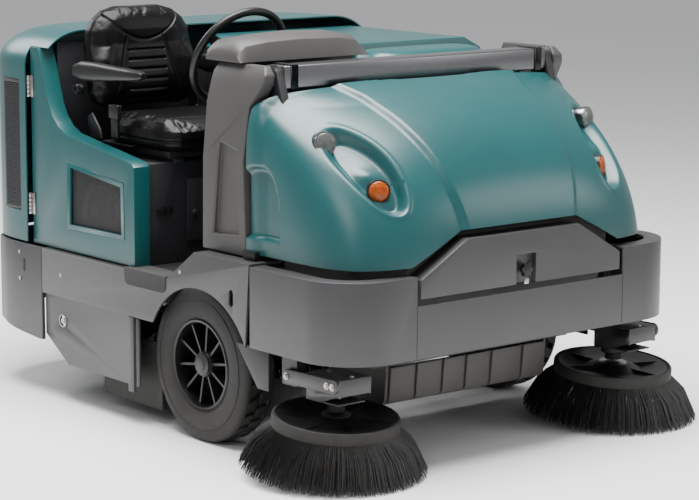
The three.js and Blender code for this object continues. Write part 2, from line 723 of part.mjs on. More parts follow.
function buildWheels() {
  const { y, radius, inner, outer, rim, bore } = FRONT_WHEEL;
  const half = (outer - inner) / 2;
  const place = [-(inner + outer) / 2, y, radius];
  const rimShape = wheelRim(rim, half - 8, bore).rotateZ(Math.PI);
  const tyre = add("right_front_tyre", turnedX(tyreProfile(radius, rim, half), 40), RUBBER, place);
  mirrored("left_front_tyre", tyre);
  mirrored("left_front_rim", add("right_front_rim", rimShape, BLACK_PLASTIC, place));
  const rear = REAR_WHEEL;
  const rearHalf = rear.width / 2;
  const rearPlace = [0, rear.y, rear.radius];
  add("rear_tyre", turnedX(tyreProfile(rear.radius, rear.rim, rearHalf), 36), RUBBER, rearPlace);
  add("rear_rim", wheelRim(rear.rim, rearHalf - 8, 18.6), BLACK_PLASTIC, rearPlace);
  add("steer_yoke", steerYoke(), DARK_STEEL, [0, rear.y, 0]);
}

function buildBrushes() {
  add("main_brush", mainBrushRoll(), BRISTLE, [0, MAIN_BRUSH.y, MAIN_BRUSH.z]);
  add("main_brush_arm", mainBrushArm(), DARK_STEEL);
  mirrored("left_side_link", add("right_side_link", sideLink(), GREY_STEEL));
  mirrored("left_side_head", add("right_side_head", sideHead(), DARK_STEEL));
  const brush = add("right_side_brush", sideBrush(), BRISTLE, [-SIDE_BRUSH.x, SIDE_BRUSH.y, SIDE_BRUSH.discZ]);
  mirrored("left_side_brush", brush);
}

function buildOperatorPlace() {
  const { x, y, z, tilt } = WHEEL;
  const steering = new THREE.Group();
  steering.position.set(x, y, z);
  steering.rotation.x = -tilt;
  sweeper.add(steering);
  add("steering_column", rod(27, [0, 0, -236], [0, 0, -35], 16), BLACK_PLASTIC, [0, 0, 0], steering);
  add("steering_wheel", steeringWheel(), BLACK_PLASTIC, [0, 0, 0], steering);
  add("horn_button", rod(24, [0, 0, -3], [0, 0, 8], 16), BLACK_PLASTIC, [0, 0, 0], steering);
  add("accelerator_pedal", pedal(80), BLACK_PLASTIC, [-320, 0, 0]);
  add("brake_pedal", pedal(70), BLACK_PLASTIC, [-530, 0, 0]);
  add("seat_base", box(-600, -240, 120, 500, 943, 967), DARK_STEEL);
  add("seat_cushion", seatCushion(), VINYL);
  add("seat_back", seatBack(), VINYL);
  add("right_armrest", armrest(-698), BLACK_PLASTIC);
  add("left_armrest", armrest(-142), BLACK_PLASTIC);
  add("lumbar_knob", rod(20, [-700, 575, 1160], [-668, 575, 1160], 14), BLACK_PLASTIC);
}

buildChassis();
buildDoors();
buildHopper();
buildLamps();
buildWheels();
buildBrushes();
buildOperatorPlace();

export default sweeper;
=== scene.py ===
import math
import random

import bmesh
import bpy
import numpy as np
from mathutils import Matrix, Vector


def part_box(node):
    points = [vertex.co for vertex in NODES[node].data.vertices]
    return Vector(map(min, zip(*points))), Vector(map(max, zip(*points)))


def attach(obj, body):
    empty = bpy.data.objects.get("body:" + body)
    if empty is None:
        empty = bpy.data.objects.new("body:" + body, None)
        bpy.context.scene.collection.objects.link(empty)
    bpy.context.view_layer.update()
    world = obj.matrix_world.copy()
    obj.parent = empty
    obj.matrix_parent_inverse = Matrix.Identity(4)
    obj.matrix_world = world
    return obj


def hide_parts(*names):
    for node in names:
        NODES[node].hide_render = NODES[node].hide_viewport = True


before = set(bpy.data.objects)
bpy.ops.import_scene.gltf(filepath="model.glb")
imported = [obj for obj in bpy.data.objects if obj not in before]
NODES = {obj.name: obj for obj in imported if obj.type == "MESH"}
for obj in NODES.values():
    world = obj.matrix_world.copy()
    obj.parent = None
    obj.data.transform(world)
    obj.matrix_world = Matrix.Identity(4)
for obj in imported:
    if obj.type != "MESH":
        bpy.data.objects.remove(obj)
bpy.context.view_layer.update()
random.seed(11)

SIDES = (("right", -1), ("left", 1))


# ---------------------------------------------------------------- materials
def shader(name, color, rough, metal=0.0, vary=0.08, patch=7.0, grain=900.0, bump=0.1,
           depth=0.0006, stretch=(1, 1, 1), cells=False, rough_vary=0.05, coat=0.0, dust=0.0,
           transmission=0.0, ior=1.5, sheen=0.0, coat_rough=0.3, specular=0.5):
    """A principled material whose colour, roughness and surface all vary in the piece's own space."""
    material = bpy.data.materials.new(name)
    material.use_nodes = True
    nodes, links = material.node_tree.nodes, material.node_tree.links
    bsdf = nodes["Principled BSDF"]
    place = nodes.new("ShaderNodeTexCoord").outputs["Object"]
    mapping = nodes.new("ShaderNodeMapping")
    mapping.inputs["Scale"].default_value = stretch
    links.new(place, mapping.inputs["Vector"])

    def noise(scale, detail=3.0):
        node = nodes.new("ShaderNodeTexNoise")
        node.inputs["Scale"].default_value = scale
        node.inputs["Detail"].default_value = detail
        links.new(mapping.outputs["Vector"], node.inputs["Vector"])
        return node.outputs["Fac"]

    ramp = nodes.new("ShaderNodeValToRGB")
    for element, share, stop in zip(ramp.color_ramp.elements, (1 - vary, 1 + vary), (0.3, 0.7)):
        element.position = stop
        element.color = [min(1.0, c * share) for c in color] + [1.0]
    links.new(noise(patch), ramp.inputs["Fac"])
    colour = ramp.outputs["Color"]
    if dust:
        split = nodes.new("ShaderNodeSeparateXYZ")
        links.new(place, split.inputs[0])
        low = nodes.new("ShaderNodeMapRange")
        low.inputs["From Min"].default_value = 0.45
        low.inputs["From Max"].default_value = 0.0
        low.inputs["To Max"].default_value = dust
        links.new(split.outputs["Z"], low.inputs["Value"])
        times = nodes.new("ShaderNodeMath")
        times.operation = "MULTIPLY"
        links.new(low.outputs["Result"], times.inputs[0])
        links.new(noise(25.0, 6.0), times.inputs[1])
        mix = nodes.new("ShaderNodeMixRGB")
        mix.inputs["Color2"].default_value = (0.30, 0.27, 0.23, 1)
        links.new(times.outputs[0], mix.inputs["Fac"])
        links.new(colour, mix.inputs["Color1"])
        colour = mix.outputs["Color"]
    links.new(colour, bsdf.inputs["Base Color"])

    spread = nodes.new("ShaderNodeMapRange")
    spread.inputs["To Min"].default_value = max(0.02, rough - rough_vary)
    spread.inputs["To Max"].default_value = min(1.0, rough + rough_vary)
    links.new(noise(35.0), spread.inputs["Value"])
    links.new(spread.outputs["Result"], bsdf.inputs["Roughness"])

    if cells:
        height = nodes.new("ShaderNodeTexVoronoi")
        height.inputs["Scale"].default_value = grain
        links.new(mapping.outputs["Vector"], height.inputs["Vector"])
        height = height.outputs["Distance"]
    else:
        height = noise(grain, 2.0)
    raised = nodes.new("ShaderNodeBump")
    raised.inputs["Strength"].default_value = bump
    raised.inputs["Distance"].default_value = depth
    links.new(height, raised.inputs["Height"])
    links.new(raised.outputs["Normal"], bsdf.inputs["Normal"])

    bsdf.inputs["Metallic"].default_value = metal
    bsdf.inputs["Coat Weight"].default_value = coat
    bsdf.inputs["Coat Roughness"].default_value = coat_rough
    bsdf.inputs["Transmission Weight"].default_value = transmission
    bsdf.inputs["IOR"].default_value = ior
    bsdf.inputs["Sheen Weight"].default_value = sheen
    bsdf.inputs["Specular IOR Level"].default_value = specular
    return material


TEAL = shader("teal_plastic", (0.0040, 0.062, 0.0645), 0.32, vary=0.06, patch=3, grain=700, bump=0.16,
              coat=0.25)
GREY = shader("grey_powder_coat", (0.040, 0.039, 0.041), 0.40, vary=0.05, grain=1100, bump=0.14, dust=0.08)
WARM = shader("grey_moulded", (0.042, 0.040, 0.038), 0.48, vary=0.05, grain=800, bump=0.2)
DARK = shader("dark_steel", (0.012, 0.012, 0.014), 0.48, vary=0.12, grain=900, bump=0.12, dust=0.10)
BLACK = shader("black_plastic", (0.0055, 0.0055, 0.0055), 0.36, vary=0.15, grain=800, bump=0.2,
               specular=0.36)
VINYL = shader("black_vinyl", (0.0020, 0.0018, 0.0018), 0.34, vary=0.2, grain=520, bump=0.30,
               depth=0.0005, cells=True, specular=0.20)
RUBBER = shader("tyre_rubber", (0.0065, 0.0062, 0.0058), 0.74, vary=0.16, patch=14, grain=400,
                bump=0.25, depth=0.0008, dust=0.10)
BRISTLE = shader("bristle_nylon", (0.013, 0.012, 0.011), 0.5, vary=0.5, patch=90, grain=300,
                 bump=0.1, rough_vary=0.12)
TUB = shader("tub_plastic", (0.062, 0.059, 0.055), 0.58, vary=0.08, patch=5, grain=350, bump=0.2, dust=0.12)
BRIGHT = shader("bright_steel", (0.21, 0.21, 0.215), 0.28, metal=1.0, vary=0.06, grain=500, bump=0.08,
                stretch=(0.04, 1, 1), rough_vary=0.08)
ZINC = shader("zinc_fastener", (0.42, 0.40, 0.37), 0.32, metal=1.0, vary=0.15, patch=60, bump=0.1)
IRON = shader("cast_iron", (0.06, 0.06, 0.06), 0.7, metal=0.4, vary=0.2, grain=250, bump=0.4)
PAPER = shader("filter_paper", (0.55, 0.50, 0.40), 0.9, vary=0.1, grain=300, bump=0.3)
MAT = shader("step_mat", (0.035, 0.034, 0.033), 0.95, vary=0.45, patch=260, grain=420, bump=0.9,
             depth=0.0015)
CLEAR = shader("clear_lens", (0.42, 0.44, 0.42), 0.08, vary=0.03, grain=260, bump=0.35, depth=0.001,
               transmission=0.85, rough_vary=0.03)
AMBER = shader("amber_lens", (0.50, 0.085, 0.001), 0.12, vary=0.25, patch=90, grain=260, bump=0.5,
               depth=0.002,
               transmission=0.35, rough_vary=0.03)
MIRROR = shader("reflector", (0.30, 0.30, 0.29), 0.16, metal=1.0, vary=0.2, patch=120, grain=200, bump=0.6)
STUDIO = shader("studio_floor", (0.93, 0.93, 0.93), 0.75, vary=0.01, patch=0.6, grain=40, bump=0.01)


# ---------------------------------------------------------------- mesh helpers
# The faces of a block whose eight corners are given as two rings of four.
BLOCK = ((0, 1, 2, 3), (4, 5, 6, 7), (0, 1, 5, 4), (1, 2, 6, 5), (2, 3, 7, 6), (3, 0, 4, 7))


def placed(name, data):
    """A new object in the scene."""
    obj = bpy.data.objects.new(name, data)
    bpy.context.scene.collection.objects.link(obj)
    return obj


def surface(verts, faces):
    """An editable mesh of these points and faces."""
    mesh = bpy.data.meshes.new("surface")
    mesh.from_pydata([tuple(v) for v in verts], [], [tuple(f) for f in faces])
    work = bmesh.new()
    work.from_mesh(mesh)
    bpy.data.meshes.remove(mesh)
    return work


def grid(rows, columns):
    """The quads between rows of points, numbered row after row."""
    return [(r * columns + c, r * columns + c + 1, (r + 1) * columns + c + 1, (r + 1) * columns + c)
            for r in range(rows - 1) for c in range(columns - 1)]


def bisect(work, point, normal, clear):
    """Cuts the whole mesh with a plane, and may drop what lies beyond it."""
    geometry = work.verts[:] + work.edges[:] + work.faces[:]
    bmesh.ops.bisect_plane(work, geom=geometry, dist=1e-6, plane_co=point, plane_no=normal,
                           clear_outer=clear)


def shell(name, work, body, node, thickness, smooth, bevel=0.0, segments=2, upward=True, even=False):
    """Makes a teal body panel of an open skin, with an even wall, in place of a CAD node."""
    bmesh.ops.recalc_face_normals(work, faces=work.faces)
    if upward and sum(f.normal.z for f in work.faces) < 0:
        bmesh.ops.reverse_faces(work, faces=work.faces)
    mesh = bpy.data.meshes.new(name)
    work.to_mesh(mesh)
    work.free()
    mesh.materials.append(TEAL)
    obj = placed(name, mesh)
    wall = obj.modifiers.new("wall", "SOLIDIFY")
    wall.thickness, wall.offset, wall.use_even_offset = thickness, -1, even
    soften(obj, bevel, segments, smooth)
    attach(obj, body)
    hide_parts(node)


def piece(name, verts, faces, material, body, slot=None, smooth=35, replaces=(), bevel=0.0, segments=2):
    """One mesh piece, with its faces turned outwards, that rides on a CAD body."""
    work = surface(verts, faces)
    bmesh.ops.remove_doubles(work, verts=work.verts, dist=1e-6)
    bmesh.ops.recalc_face_normals(work, faces=work.faces)
    mesh = bpy.data.meshes.new(name)
    work.to_mesh(mesh)
    work.free()
    mesh.materials.append(material)
    obj = placed(name, mesh)
    soften(obj, bevel, segments, smooth)
    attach(obj, body)
    if replaces:
        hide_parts(*replaces)
    return obj


def smooth_group(degrees):
    """A node group that shades a mesh smooth except across edges sharper than this."""
    name = f"smooth_{degrees}"
    if name in bpy.data.node_groups:
        return bpy.data.node_groups[name]
    group = bpy.data.node_groups.new(name, "GeometryNodeTree")
    group.interface.new_socket("Geometry", in_out="INPUT", socket_type="NodeSocketGeometry")
    group.interface.new_socket("Geometry", in_out="OUTPUT", socket_type="NodeSocketGeometry")
    made = group.nodes.new
    start, end = made("NodeGroupInput"), made("NodeGroupOutput")
    faces, edges = made("GeometryNodeSetShadeSmooth"), made("GeometryNodeSetShadeSmooth")
    faces.domain, edges.domain = "FACE", "EDGE"
    angle, over = made("GeometryNodeInputMeshEdgeAngle"), made("FunctionNodeCompare")
    over.inputs["B"].default_value = math.radians(degrees)
    edges.inputs["Shade Smooth"].default_value = False
    link = group.links.new
    link(start.outputs[0], faces.inputs["Geometry"])
    link(faces.outputs["Geometry"], edges.inputs["Geometry"])
    link(angle.outputs["Unsigned Angle"], over.inputs["A"])
    link(over.outputs["Result"], edges.inputs["Selection"])
    link(edges.outputs["Geometry"], end.inputs[0])
    return group


def soften(obj, bevel, segments=2, smooth=35):
    if bevel:
        rounding = obj.modifiers.new("edges", "BEVEL")
        rounding.width, rounding.segments = bevel, segments
        rounding.limit_method, rounding.angle_limit = "ANGLE", math.radians(32)
        rounding.use_clamp_overlap = True
    shade = obj.modifiers.new("smooth", "NODES")
    shade.node_group = smooth_group(smooth)


def carry(node, material, bevel=0.003, segments=2, smooth=35):
    """Keeps a CAD node and gives it soft edges and a finish."""
    obj = NODES[node]
    obj.data.materials.clear()
    obj.data.materials.append(material)
    weld = obj.modifiers.new("weld", "WELD")
    weld.merge_threshold = 1e-5
    soften(obj, bevel, segments, smooth)
    return obj


class Shape:
    """Vertices and faces of several simple closed forms, gathered into one piece."""

    def __init__(self):
        self.verts, self.faces = [], []

    def add(self, verts, faces):
        base = len(self.verts)
        self.verts += [Vector(v) for v in verts]
        self.faces += [[i + base for i in f] for f in faces]
        return self

    def box(self, lo, hi, turn=None):
        (a, b, c), (d, e, f) = lo, hi
        verts = [(x, y, z) for z in (c, f) for y in (b, e) for x in (a, d)]
        if turn:
            verts = [turn @ Vector(v) for v in verts]
        return self.add(verts, [(0, 2, 3, 1), (4, 5, 7, 6), (0, 1, 5, 4), (1, 3, 7, 5), (3, 2, 6, 7),
                                (2, 0, 4, 6)])

    def slab(self, outline, axis, lo, hi):
        """A closed outline in the other two axes, in X, Y, Z order, from lo to hi along an axis."""
        def at(u, v, w):
            return {"x": (w, u, v), "y": (u, w, v), "z": (u, v, w)}[axis]
        n = len(outline)
        verts = [at(u, v, lo) for u, v in outline] + [at(u, v, hi) for u, v in outline]
        sides = [(i, (i + 1) % n, (i + 1) % n + n, i + n) for i in range(n)]
        return self.add(verts, [list(range(n))[::-1], list(range(n, 2 * n)), *sides])

    def lathe(self, profile, origin, axis, segments=48, closed=False):
        """A (radius, height) profile turned about an axis; one that is not closed starts and ends on it."""
        turn = Vector((0, 0, 1)).rotation_difference(Vector(axis)).to_matrix()
        origin, verts, faces, rings = Vector(origin), [], [], []
        for radius, height in profile:
            if radius < 1e-7:
                rings.append([len(verts)])
                verts.append(origin + turn @ Vector((0, 0, height)))
                continue
            rings.append(list(range(len(verts), len(verts) + segments)))
            for i in range(segments):
                a = 2 * math.pi * i / segments
                verts.append(origin + turn @ Vector((radius * math.cos(a), radius * math.sin(a), height)))
        pairs = list(zip(rings, rings[1:])) + ([(rings[-1], rings[0])] if closed else [])
        for low, high in pairs:
            for i in range(segments):
                j = (i + 1) % segments
                quad = [low[i % len(low)], low[j % len(low)], high[j % len(high)], high[i % len(high)]]
                quad = list(dict.fromkeys(quad))
                if len(quad) > 2:
                    faces.append(quad)
        return self.add(verts, faces)

    def tube(self, points, radius, sides=12, closed=False):
        """A round tube along points."""
        points = [Vector(p) for p in points]
        n, rings, normal = len(points), [], None
        for i, p in enumerate(points):
            ahead = points[(i + 1) % n] if closed or i < n - 1 else p
            behind = points[i - 1] if closed or i else p
            along = (ahead - behind).normalized()
            if normal is None:
                normal = along.orthogonal().normalized()
            normal = (normal - along * normal.dot(along)).normalized()
            across = along.cross(normal)
            rings.append([
                p + radius * (math.cos(a) * normal + math.sin(a) * across)
                for a in (2 * math.pi * k / sides for k in range(sides))
            ])
        faces = []
        for i in range(n if closed else n - 1):
            j = (i + 1) % n
            for k in range(sides):
                m = (k + 1) % sides
                faces.append((i * sides + k, i * sides + m, j * sides + m, j * sides + k))
        if not closed:
            faces += [list(range(sides))[::-1], list(range((n - 1) * sides, n * sides))]
        return self.add([v for ring in rings for v in ring], faces)

    def loft(self, rings):
        n, verts = len(rings[0]), [Vector(p) for ring in rings for p in ring]
        faces = [list(range(n))[::-1], list(range(len(verts) - n, len(verts)))]
        for r in range(len(rings) - 1):
            for i in range(n):
                j = (i + 1) % n
                faces.append((r * n + i, r * n + j, (r + 1) * n + j, (r + 1) * n + i))
        return self.add(verts, faces)

    def disc(self, radius, low, high, at, axis, segments=20):
        """A plain disc between two heights along an axis."""
        return self.lathe([(0, low), (radius, low), (radius, high), (0, high)], at, axis, segments)

    def bolt(self, at, axis, radius, height):
        """A hexagon head on a washer."""
        self.disc(radius * 1.5, 0, 0.002, at, axis)
        return self.lathe([(0, 0), (radius, 0), (radius, height * 0.8), (radius * 0.8, height), (0, height)],
                          at, axis, 6)

    def made(self, name, material, body, **options):
        return piece(name, self.verts, self.faces, material, body, **options)


def step(low, high, x):
    t = np.clip((x - low) / (high - low), 0, 1)
    return t * t * (3 - 2 * t)


def oval(cx, cy, z, a, b, power, count):
    ring = []
    for i in range(count):
        angle = 2 * math.pi * i / count
        c, s = math.cos(angle), math.sin(angle)
        k = (abs(c) ** power + abs(s) ** power) ** (-1 / power)
        ring.append((cx + a * c * k, cy + b * s * k, z))
    return ring


# ---------------------------------------------------------------- camera
EYE = Vector((-5.42619, -6.76851, 2.06195))
LOOK = Vector((0.62539, 0.76158, -0.16995))


def camera():
    """The camera at the photograph's angle."""
    data = bpy.data.cameras.new("camera")
    data.lens, data.sensor_width, data.clip_end = 122.27, 36.0, 100.0
    obj = placed("camera", data)
    roll = Matrix.Rotation(math.radians(0.219), 4, "Z")
    turn = LOOK.to_track_quat("-Z", "Y").to_matrix().to_4x4()
    obj.matrix_world = Matrix.Translation(EYE) @ turn @ roll
    bpy.context.scene.camera = obj


# ---------------------------------------------------------------- hopper cover
COVER = {"half": 0.728, "depth": 0.580, "rear": -0.503, "bottom": 0.700, "height": 0.575}
NOTCH = {"foot": (0.472, 0.701), "shoulder": (0.264, 0.806)}
# The edge of the raised middle, seen from the front: height, and distance from the centre line.
RIDGE_AT = ((0.817, 0.252), (0.860, 0.260), (0.953, 0.282), (1.057, 0.304), (1.154, 0.336), (1.220, 0.367),
            (1.259, 0.407))
# The recess round one side's lamps, seen from the front: distance from the centre line, and height.
RECESS = [(0.640, 1.070), (0.616, 1.128), (0.565, 1.146), (0.512, 1.134), (0.462, 1.082), (0.443, 1.000),
          (0.448, 0.925), (0.473, 0.878), (0.520, 0.874), (0.565, 0.905), (0.600, 0.955), (0.628, 1.010)]
LAMPS = {
    "head_lamp": {"at": (0.604, -0.775, 1.088), "yaw": 0.25, "radius": 0.035, "lens": CLEAR,
                  "slot": "clear_lens"},
    "turn_lamp": {"at": (0.516, -0.940, 0.940), "yaw": 0.50, "radius": 0.034, "lens": AMBER,
                  "slot": "amber_lens"},
}


def cover_point(angle, t):
    """A point on the cover's plain form: angle from -X round the front to +X, t the share of the height."""
    power = np.maximum(1.9, 5.4 - 4 * t)
    a = COVER["half"] * (1 - t ** 8) ** (1 / 8)
    b = COVER["depth"] * (1 - t ** 2.3) ** 0.62
    c, s = np.cos(angle), np.sin(angle)
    k = (np.abs(c) ** power + np.abs(s) ** power) ** (-1 / power)
    return np.stack([-a * c * k, COVER["rear"] - b * s * k, COVER["bottom"] + COVER["height"] * t], -1)


def rounded(outline):
    """The outline with each corner cut off a quarter of the way along its sides."""
    cut = []
    for (x0, z0), (x1, z1) in zip(outline, outline[1:] + outline[:1]):
        cut += [(0.75 * x0 + 0.25 * x1, 0.75 * z0 + 0.25 * z1),
                (0.25 * x0 + 0.75 * x1, 0.25 * z0 + 0.75 * z1)]
    return cut


def lamp_distance(x, z):
    """Signed distance to the outline of one side's lamp recess, seen from the front; negative inside."""
    best, inside = np.full(x.shape, 9.0), np.zeros(x.shape, bool)
    outline = rounded(rounded(RECESS))
    for (x0, z0), (x1, z1) in zip(outline, outline[1:] + outline[:1]):
        dx, dz = x1 - x0, z1 - z0
        along = np.clip(((x - x0) * dx + (z - z0) * dz) / (dx ** 2 + dz ** 2), 0, 1)
        best = np.minimum(best, np.hypot(x - x0 - along * dx, z - z0 - along * dz))
        crossing = (z0 > z) != (z1 > z)
        inside ^= crossing & (x < x0 + (z - z0) * dx / (dz + 1e-12))
    return np.where(inside, -best, best)


def hopper_cover():
    """The hopper cover's skin: the plain form with its raised middle, lamp recesses and side scoops."""
    columns, rows = 330, 130
    # Columns crowd towards the front corners, where the lamps are.
    u = np.linspace(-1, 1, columns)
    angle = math.pi / 2 * (1 + u * 0.86 + 0.14 * np.sign(u) * np.abs(u) ** 3)
    notch_x = np.abs(cover_point(angle, np.full(columns, 0.05))[:, 0])
    (foot_x, foot_z), (shoulder_x, shoulder_z) = NOTCH["foot"], NOTCH["shoulder"]
    low = np.interp(notch_x, [shoulder_x, foot_x], [shoulder_z, foot_z]) - COVER["bottom"]
    low = np.where(notch_x > foot_x, 0.0, low / COVER["height"])
    share = np.linspace(0, 1, rows)
    t = low[None] + (0.9985 - low[None]) * (1 - (1 - share[:, None]) ** 1.5)
    base = cover_point(np.broadcast_to(angle, t.shape), t)
    du, dv = np.gradient(base, axis=1), np.gradient(base, axis=0)
    normal = np.cross(du, dv)
    normal /= np.linalg.norm(normal, axis=-1, keepdims=True) + 1e-12
    normal *= np.where((normal @ np.array((0, -0.6, 0.8)))[..., None] < 0, -1, 1)
    x, y, z = np.abs(base[..., 0]), base[..., 1], base[..., 2]
    front = step(-0.53, -0.58, y)
    ridge = np.interp(z, *zip(*RIDGE_AT))
    raised = -0.015 * step(-0.008, 0.014, x - ridge) * front * step(0.60, 0.44, x - ridge)
    distance = lamp_distance(x, z)
    inboard = step(0.640, 0.540, x)
    cup = step(0.004, -0.050 + 0.026 * inboard, distance) * front
    raised -= 0.044 * cup
    raised += 0.003 * np.exp(-((distance - 0.008) / 0.007) ** 2) * front * inboard
    saddle = np.hypot((x - 0.545) / 0.050, (z - 1.018) / 0.030)
    raised += 0.014 * np.exp(-saddle ** 2) * front
    tray = step(-0.004, 0.004, ridge - 0.030 - x) * step(-0.612, -0.604, y - 0.05 * (x / 0.4) ** 2)
    raised -= 0.012 * tray
    reach = np.abs((y + 0.555) / 0.110) ** 2.5 + np.maximum((z - 0.760) / 0.240, 0) ** 2.5
    scoop = step(1.05, 0.80, reach) * step(0.752, 0.762, z) * step(0.60, 0.68, x)
    raised -= 0.022 * scoop
    points = base + normal * raised[..., None]
    work = surface(points.reshape(-1, 3), grid(rows, columns))
    bisect(work, (0, COVER["rear"], 0), (0, 1, 0), True)
    bisect(work, (0, COVER["rear"], 1.190), (0, 0.100, 0.125), True)
    bmesh.ops.remove_doubles(work, verts=work.verts, dist=2e-4)
    shell("hopper_cover_skin", work, "cover", "hopper_cover", 0.006, 50)


def lamps():
    for side, sign in SIDES:
        for name, lamp in LAMPS.items():
            x, y, z = lamp["at"]
            out = Vector((sign * math.sin(lamp["yaw"]), -math.cos(lamp["yaw"]), 0.10)).normalized()
            r = lamp["radius"]
            at = Vector((sign * x, y, z)) - out * 0.016
            Shape().lathe([(0, -0.012), (r * 0.5, -0.010), (r * 0.96, 0.006), (r, 0.010), (r * 1.12, 0.010),
                           (r * 1.16, 0.004), (r * 1.10, -0.045), (0, -0.045)], at, out).made(
                f"{side}_{name}_bowl", MIRROR if name == "head_lamp" else BLACK, "cover")
            dome = [(r * math.cos(a), 0.009 + 0.28 * r * math.sin(a))
                    for a in np.linspace(0, math.pi / 2, 9)[:-1]]
            Shape().lathe([(0, 0.006), (r * 0.9, 0.006), *dome, (0, 0.009 + 0.28 * r)], at, out).made(
                f"{side}_{name}_lens", lamp["lens"], "cover", slot=lamp["slot"], replaces=[f"{side}_{name}"])


# ---------------------------------------------------------------- brushes
def bristle_strand(shape, root, tip, width, bow):
    root, tip = Vector(root), Vector(tip)
    along = (tip - root).normalized()
    side = along.orthogonal().normalized()
    other = along.cross(side)
    rings = []
    for share, size in ((0, 1.0), (0.5, 0.9), (1, 0.6)):
        middle = root.lerp(tip, share) + Vector(bow) * (4 * share * (1 - share))
        rings.append([middle + width * size * (math.cos(a) * side + math.sin(a) * other)
                      for a in (0.3, 2.4, 4.5)])
    shape.loft(rings)


BRUSH = {"at": (0.645, -0.880, 0.205), "tilt": math.radians(5)}


def side_brushes():
    """Tilted discs: heights are measured from the top of the disc."""
    bristles = Shape()
    circles = ((0.205, 0.314, 640), (0.196, 0.300, 560), (0.184, 0.284, 460), (0.168, 0.262, 320))
    for circle, (r0, r1, count) in enumerate(circles):
        for i in range(count):
            a = 2 * math.pi * (i + random.random()) / count
            b = a + random.gauss(0, 0.022)
            reach = r1 - abs(random.gauss(0, 0.006))
            foot = -0.178 + abs(random.gauss(0, 0.005)) + 0.003 * circle
            bow = (0.010 * math.cos(a), 0.010 * math.sin(a), 0.014)
            bristle_strand(bristles, (r0 * math.cos(a), r0 * math.sin(a), -0.032),
                           (reach * math.cos(b), reach * math.sin(b), foot), 0.0017, bow)
    plate, ring, hub = Shape(), Shape(), Shape()
    plate.lathe([(0.03, -0.030), (0.085, -0.038), (0.150, -0.036), (0.203, -0.028), (0.203, -0.006),
                 (0.196, -0.002), (0.150, -0.014), (0.105, -0.018), (0.060, 0.002), (0.030, 0.004)],
                (0, 0, 0), (0, 0, 1),
                96, True)
    for k in range(6):
        turn = Matrix.Rotation(math.pi * k / 3 + 0.3, 3, "Z")
        plate.box((0.075, -0.003, -0.022), (0.185, 0.003, -0.006), turn)
    ring.lathe([(0.202, -0.048), (0.2105, -0.046), (0.213, -0.040), (0.213, -0.006), (0.210, 0.000),
                (0.202, 0.000)],
               (0, 0, 0), (0, 0, 1), 112, True)
    hub.lathe([(0, -0.018), (0.070, -0.018), (0.070, -0.006), (0.058, 0.001), (0.034, 0.006), (0, 0.007)],
              (0, 0, 0), (0, 0, 1), 48)
    tilt = Matrix.Rotation(BRUSH["tilt"], 3, "X")
    for side, sign in SIDES:
        x, y, z = BRUSH["at"]
        at = Vector((sign * x, y, z))
        body = f"{side}_disc"
        for shape, name, material, replaced in (
            (bristles, "bristles", BRISTLE, [f"{side}_side_brush"]), (plate, "brush_plate", BLACK, []),
            (ring, "brush_ring", RUBBER, []), (hub, "brush_hub", ZINC, []),
        ):
            verts = [tilt @ Vector((sign * -v[0], v[1], v[2])) + at for v in shape.verts]
            piece(f"{side}_{name}", verts, shape.faces, material, body, replaces=replaced, smooth=40,
                  slot="bristle" if name == "bristles" else None)
        side_arm(side, sign)


def side_arm(side, sign):
    """The parallel arm that carries a side brush."""
    link, head, body_head = Shape(), Shape(), f"{side}_head"
    rear, front = (-0.745, 0.325), (-0.985, 0.330)
    outline = [(rear[0] + 0.022 * math.cos(a), rear[1] + 0.024 * math.sin(a))
               for a in np.linspace(-1.57, 1.57, 9)]
    outline += [(front[0] + 0.022 * math.cos(a), front[1] + 0.024 * math.sin(a))
                for a in np.linspace(1.57, 4.71, 9)]
    link.slab(outline, "x", sign * 0.735, sign * 0.747)
    link.made(f"{side}_arm_bar", GREY, f"{side}_link", replaces=[f"{side}_side_link"], bevel=0.002,
              slot="grey_steel")
    pins = Shape()
    for y, z in (rear, front, (front[0] + 0.028, front[1])):
        pins.bolt((sign * 0.747, y, z), (sign, 0, 0), 0.008, 0.008)
    pins.made(f"{side}_arm_bolts", ZINC, f"{side}_link")
    near, far = sorted((sign * 0.600, sign * 0.731))
    # A channel with a top, two sides and a folded foot over the disc.
    head.box((near, -1.006, 0.346), (far, -0.825, 0.352))
    for x in (near, far - 0.006):
        head.slab([(-1.006, 0.346), (-0.825, 0.346), (-0.825, 0.262), (-0.900, 0.262), (-0.985, 0.292),
                   (-1.006, 0.292)],
                  "x", x, x + 0.006)
    head.box((near, -1.006, 0.296), (far, -1.000, 0.350))
    head.box((near + 0.006, -0.985, 0.262), (far - 0.006, -0.825, 0.268))
    head.made(f"{side}_head_channel", GREY, body_head, bevel=0.003, replaces=[f"{side}_side_head"],
              slot="dark_steel")
    bolts = Shape()
    for y in (-0.985, -0.870):
        bolts.bolt(((near + far) / 2, y, 0.352), (0, 0, 1), 0.007, 0.006)
    bolts.made(f"{side}_head_bolts", ZINC, body_head)
    motor = Shape().lathe([(0, 0.219), (0.030, 0.219), (0.030, 0.240), (0.044, 0.246), (0.044, 0.336),
                           (0.038, 0.343), (0, 0.343)], (sign * 0.645, -0.880, 0), (0, 0, 1), 40)
    motor.made(f"{side}_brush_motor", DARK, body_head, bevel=0.002)


